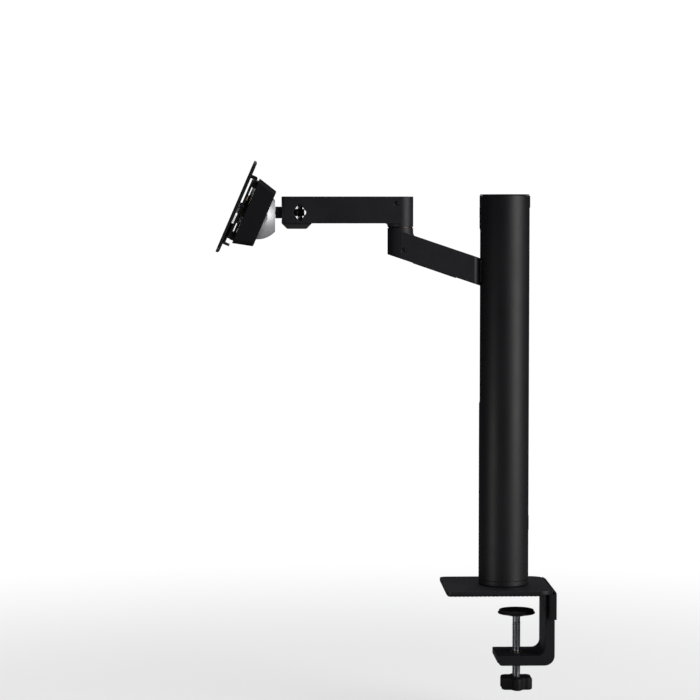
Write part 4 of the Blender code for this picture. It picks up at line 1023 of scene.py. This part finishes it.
def make_yoke():
    rear = -0.0065
    arch = [(-ear_out, rear), (-ear_in, rear), (-ear_in, web_rear + 0.001), (ear_in, web_rear + 0.001),
            (ear_in, rear), (ear_out, rear), (ear_out, web_front - 0.001), (-ear_out, web_front - 0.001)]
    yoke = slab("tilt_yoke_pressing", arch, -0.0080, 0.0080, head_at @ Matrix.Rotation(math.pi, 4, "X"))
    weld(yoke, lathe("web", disc(0.0320, web_rear, web_front), [facing()], 96))
    carve(yoke, lathe("shaft_hole", disc(0.0048, -0.04, 0.04), [head_at @ along("X")], 48),
          lathe("pin_hole", disc(0.0053, 0.010, 0.020), [facing()], 48))
    return soften(yoke, 0.0003, 2, 35)


finish_as(make_yoke(), black_steel, "tilt_yoke")
end, lip = 0.0325, ear_out + gap
head_r, shaft_r = 0.0062, 0.0045
shaft = [(0, -end), (head_r, -end), (head_r, -lip), (shaft_r, -lip), (shaft_r, lip), (head_r, lip),
         (head_r, end), (0, end)]
finish_as(shade(lathe("tilt_riveted_shaft", eased(shaft, 0.0004), [head_at @ along("X")], 64)), across_steel,
          "tilt_shaft")
for side, axis in (("left", "-X"), ("right", "X")):
    drag_disc = lathe(f"tilt_brass_disc_{side}", eased(ring(0.0048, 0.0064, 0.0258, 0.0287), 0.0002),
                      [head_at @ along(axis)], 64)
    finish_as(shade(drag_disc), brass_metal, f"tilt_disc_{side}")
pin = [(0, 0.0124), (0.0090, 0.0124), (0.0090, web_rear - gap), (0.0050, web_rear - gap), (0.0050, 0.0250),
       (0, 0.0250)]
finish_as(shade(lathe("pivot_shoulder_pin", eased(pin, 0.0004), [facing()], 64)), across_steel, "pivot_pin")
washer = lathe("pivot_brass_washer", eased(ring(0.0053, 0.0180, 0.0189, 0.0199), 0.0002), [facing()], 96)
finish_as(shade(washer), brass_metal, "pivot_washer")

# ---------------------------------------------------------------------------------------------
# Head cover. A moulded black shell that widens towards the display, with a round opening that the
# ball sits in. Four small screws through the pivot plate run into its inner posts.

shell_plastic = grained("black_shell_plastic", (0.0042, 0.0040, 0.0052), 1.6, 0.58, 0.12, 2300.0, 0.4,
                        rub=0.3, rub_colour=(0.017, 0.017, 0.018), Specular_IOR_Level=0.12)
cover_rear_s, cover_front_s = -0.0093, 0.015
cover_rear_half, cover_front_half = 0.03525, 0.0415
post_at = 0.0335
post_spots = [(x, z) for x in (-post_at, post_at) for z in (-post_at, post_at)]


def square_ring(half, corner, s, steps=8):
    """A rounded square at a distance in front of the ball's centre."""
    return [(x, y, s) for x, y in rounded((-half, -half), (half, half), (corner,) * 4, steps)]


def make_head_cover():
    grow = (cover_front_half - cover_rear_half) / (cover_front_s - cover_rear_s)
    wall, ease = 0.0022, 0.0014
    rings = []
    for k in range(7):
        turn = math.radians(90 * k / 6)
        s = cover_rear_s + ease * (1 - math.cos(turn))
        rings.append((s, cover_rear_half - ease * (1 - math.sin(turn)) + grow * (s - cover_rear_s)))
    rim = 0.0005
    rings += [(cover_front_s - rim, cover_front_half - grow * rim), (cover_front_s, cover_front_half - rim)]
    outer_shell = stack("head_shell", [square_ring(half, 0.0055, s) for s, half in rings], facing())
    inside = [(cover_rear_s + wall, cover_rear_half + grow * wall - wall),
              (cover_front_s + 0.004, cover_front_half + grow * 0.004 - wall)]
    spots = [facing((x, 0, z)) for x, z in post_spots]
    carve(outer_shell, stack("inside", [square_ring(half, 0.004, s) for s, half in inside], facing()),
          lathe("opening", [(0, -0.012), (0.0283, -0.012), (0.0275, -0.0088), (0.0275, -0.004), (0, -0.004)],
                [facing()], 128))
    weld(outer_shell, lathe("posts", disc(0.0050, 0.0045, 0.0199), spots, 48))
    carve(outer_shell, lathe("post_holes", disc(0.0018, 0.007, 0.021), spots, 24))
    return shade(outer_shell, 30)


finish_as(make_head_cover(), shell_plastic, "head_cover")

# ---------------------------------------------------------------------------------------------
# Pivot plate. A steel plate that turns on the pivot pin behind the display, with two bent guides
# for the release latch. Four countersunk screws hold the head cover to it.

plate_rear, plate_front = 0.0202, 0.0227
plate_half = 0.038


def make_pivot_plate():
    plate = slab("pivot_steel_plate", rounded((-plate_half,) * 2, (plate_half,) * 2, (0.003,) * 4),
                 plate_rear, plate_front, facing())
    guides = []
    for x in (-1, 1):
        near, far = sorted((x * 0.0124, x * 0.0150))
        guides.append(box("guide", (near, -0.0254, -0.0370), (far, -0.0220, -0.0220), head_at))
    weld(plate, *guides)
    spots = [head_at @ along("Y", (x, -plate_front - gap, z)) for x, z in post_spots]
    sink = [(0, 0), (0.0036, 0), (0.0033, 0.0005), (0.0033, 0.0020), (0.0018, 0.0020), (0.0018, 0.0040),
            (0, 0.0040)]
    carve(plate, lathe("pin_hole", disc(0.0053, 0.018, 0.025), [facing()], 64),
          lathe("sinks", sink, spots, 32),
          box("keeper_hole", (-0.007, -0.025, -0.036), (0.007, -0.018, -0.024), head_at))
    return soften(plate, 0.0003, 2, 35)


finish_as(make_pivot_plate(), black_steel, "pivot_plate")
dress_node("pivot_nut", zinc_bolt)
countersunk = [(0, 0), (0.0029, 0), (0.0031, 0.0015), (0.0015, 0.0017), (0.0015, 0.0130), (0, 0.0130)]
for i, (x, z) in enumerate(post_spots):
    place = [head_at @ along("Y", (x, -plate_front + 0.0001, z))]
    cover_screw = lathe(f"cover_screw_{i + 1}", eased(countersunk, 0.0003), place, 32)
    cross = [box("slot", (-0.0002, -0.0016, -0.001), (0.0002, 0.0016, 0.0008), place[0]),
             box("slot", (-0.0016, -0.0002, -0.001), (0.0016, 0.0002, 0.0008), place[0])]
    carve(cover_screw, *cross)
    shade(cover_screw)
    cover_screw.data.materials.append(zinc_bolt)
    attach(cover_screw, "head")

# ---------------------------------------------------------------------------------------------
# Display plate. The 116 mm steel plate that is screwed to the display, with both usual square
# hole patterns. Two hooks hang it on the pivot plate's top edge, and a catch at the bottom locks it.

display_rear, display_front, display_half = 0.0258, 0.0288, 0.058


def make_display_plate():
    plate = slab("display_steel_plate", rounded((-display_half,) * 2, (display_half,) * 2, (0.008,) * 4, 12),
                 display_rear, display_front, facing())
    parts = []
    for x in (-1, 1):
        near, far = sorted((x * 0.018, x * 0.028))
        hook = [(-display_rear - 0.001, 0.0384), (-0.0198, 0.0384), (-0.0198, 0.0345), (-0.0176, 0.0345),
                (-0.0176, 0.0410), (-0.0186, 0.0420), (-display_rear - 0.001, 0.0420)]
        parts.append(slab("hook", hook, near, far, head_at @ side_on))
    catch = [(-display_rear - 0.001, -0.0330), (-0.0206, -0.0330), (-0.0206, -0.0262), (-0.0225, -0.0262),
             (-0.0225, -0.0290), (-display_rear - 0.001, -0.0290)]
    parts.append(slab("catch", catch, -0.0040, 0.0040, head_at @ side_on))
    weld(plate, *parts)
    spots = [facing((x * pitch / 2, 0, z * pitch / 2))
             for pitch in (0.075, 0.100) for x in (-1, 1) for z in (-1, 1)]
    rims = [(0, display_rear - 0.002), (0.0031, display_rear - 0.002), (0.0031, display_rear),
            (0.0025, display_rear + 0.0005), (0.0025, display_front - 0.0005), (0.0031, display_front),
            (0.0031, display_front + 0.002), (0, display_front + 0.002)]
    carve(plate, lathe("screw_holes", rims, spots, 40))
    return soften(plate, 0.0004, 2, 50)


finish_as(make_display_plate(), black_steel, "display_plate")

# ---------------------------------------------------------------------------------------------
# Release latch. A bent steel slide between the two plates; pushing its pad up frees the display
# plate. A small wound spring above it pushes it back.


def make_latch():
    latch = box("release_slide", (-0.012, -0.0252, -0.0450), (0.012, -0.0230, -0.0200), head_at)
    weld(latch, box("pad", (-0.0140, -0.0251, -0.0470), (0.0140, -0.0172, -0.0440), head_at))
    carve(latch, box("eye", (-0.0060, -0.027, -0.0370), (0.0060, -0.021, -0.0288), head_at))
    return soften(latch, 0.0004, 2, 40)


finish_as(make_latch(), across_steel, "release_latch")


def make_latch_spring():
    """A wound spring from the latch's foot up to the head, built where it stands at rest."""
    turns, per_turn, around = 5, 28, 8
    radius, wire, height = 0.00085, 0.0002, 0.0101
    foot = Vector((0, -0.0241, -0.0196))
    top = foot + Vector((0, 0, height))
    rows = []
    for k in range(turns * per_turn + 1):
        share = k / (turns * per_turn)
        angle = 2 * math.pi * turns * share
        out = Vector((math.cos(angle), math.sin(angle), 0))
        centre = foot.lerp(top, share) + out * radius
        row = []
        for i in range(around):
            turn = 2 * math.pi * i / around
            row.append(centre + out * wire * math.cos(turn) + Vector((0, 0, wire * math.sin(turn))))
        rows.append(row)
    spring = shade(stack("latch_wound_spring", rows, head_at), 60)
    spring.data.materials.append(spring_steel)
    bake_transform(spring)
    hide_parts("latch_spring")


make_latch_spring()

# ---------------------------------------------------------------------------------------------
# Studio. A white floor just below the clamp's lowest reach fades into the background. A large soft
# light from the right draws the highlight down the pole, a small low one lifts its left side, and
# one hangs overhead.

clamp_down = 0.035
floor_z = spindle_end - clamp_down - 0.0005


def make_floor():
    """White to the camera, and dark to the arm, so that it doesn't light the arm from below."""
    middle = (0, -0.15, floor_z)
    bm = bmesh.new()
    bmesh.ops.create_circle(bm, cap_ends=True, segments=96, radius=14.0)
    floor = solid("studio_floor", bm, Matrix.Translation(middle))
    material = bpy.data.materials.new("white_floor")
    material.use_nodes = True
    tree = material.node_tree
    shader = tree.nodes["Principled BSDF"]
    where = put(tree, "TexCoord").outputs["Object"]
    off = put(tree, "VectorMath", {0: where, 1: middle}, operation="SUBTRACT")
    far = put(tree, "VectorMath", {0: off.outputs[0]}, operation="LENGTH")
    fade = put(tree, "MapRange",
               {"Value": far.outputs["Value"], "From Min": 0.25, "From Max": 1.5, "To Min": 0.55},
               interpolation_type="SMOOTHSTEP")
    cloud = put(tree, "TexNoise", {"Vector": where, "Scale": 3.0})
    pale = mixed(tree, cloud.outputs["Fac"], (0.86, 0.86, 0.86, 1), (0.90, 0.90, 0.90, 1))
    seen = put(tree, "LightPath").outputs["Is Camera Ray"]
    tree.links.new(mixed(tree, seen, (0.20, 0.20, 0.21, 1), pale), shader.inputs["Base Color"])
    shader.inputs["Roughness"].default_value = 0.9
    shader.inputs["Specular IOR Level"].default_value = 0.0
    glow = put(tree, "Emission", {"Color": (1, 1, 1, 1), "Strength": 1.02})
    share = maths(tree, "MULTIPLY", fade.outputs[0], seen)
    blend = put(tree, "MixShader", {0: share, 1: shader.outputs[0], 2: glow.outputs[0]})
    tree.links.new(blend.outputs[0], tree.nodes["Material Output"].inputs["Surface"])
    floor.data.materials.append(material)


make_floor()


def area_light(name, azimuth, elevation, distance, width, height, watts, aim=(0, -0.1, 0.22)):
    """A softbox that faces the arm. Azimuth 0 is on the camera's side, and it grows towards +Y."""
    a, e = math.radians(azimuth), math.radians(elevation)
    away = Vector((math.cos(a) * math.cos(e), math.sin(a) * math.cos(e), math.sin(e)))
    lamp = bpy.data.lights.new(name, "AREA")
    lamp.shape = "RECTANGLE"
    lamp.size, lamp.size_y, lamp.energy = width, height, watts
    obj = bpy.data.objects.new(name, lamp)
    obj.location = Vector(aim) + away * distance
    obj.rotation_mode = "QUATERNION"
    obj.rotation_quaternion = (-away).to_track_quat("-Z", "Y")
    bpy.context.scene.collection.objects.link(obj)
    return obj


area_light("right_softbox", 55, 9, 2.4, 1.3, 2.5, 54)
area_light("left_low_light", -56, -12, 0.72, 0.13, 0.16, 0.75, (0, 0, 0.18)).visible_camera = False
area_light("overhead_softbox", 180, 78, 2.2, 2.2, 2.2, 31)

world = bpy.data.worlds.new("studio")
bpy.context.scene.world = world
world.use_nodes = True
tree = world.node_tree
seen = put(tree, "LightPath").outputs["Is Camera Ray"]
sky = mixed(tree, seen, (0.024, 0.024, 0.034, 1), (1.02, 1.02, 1.02, 1))
tree.links.new(sky, tree.nodes["Background"].inputs["Color"])
bpy.context.scene.view_settings.view_transform = "Standard"

# ---------------------------------------------------------------------------------------------
# Camera. A long lens looks at the side of the arm from almost three metres away. It stands level
# with the arm and tips down a little, so that the whole clamp is in the frame.

lens = bpy.data.cameras.new("camera")
lens.lens, lens.sensor_width = 123.4, 36.0
lens.clip_start, lens.clip_end = 0.1, 60.0
camera = bpy.data.objects.new("camera", lens)
camera.location = (2.87, -0.287, 0.450)
yaw, pitch = math.radians(2.03), math.radians(3.2)
look = Vector((-math.cos(yaw) * math.cos(pitch), math.sin(yaw) * math.cos(pitch), -math.sin(pitch)))
camera.rotation_mode = "QUATERNION"
camera.rotation_quaternion = look.to_track_quat("-Z", "Y")
bpy.context.scene.collection.objects.link(camera)
bpy.context.scene.camera = camera
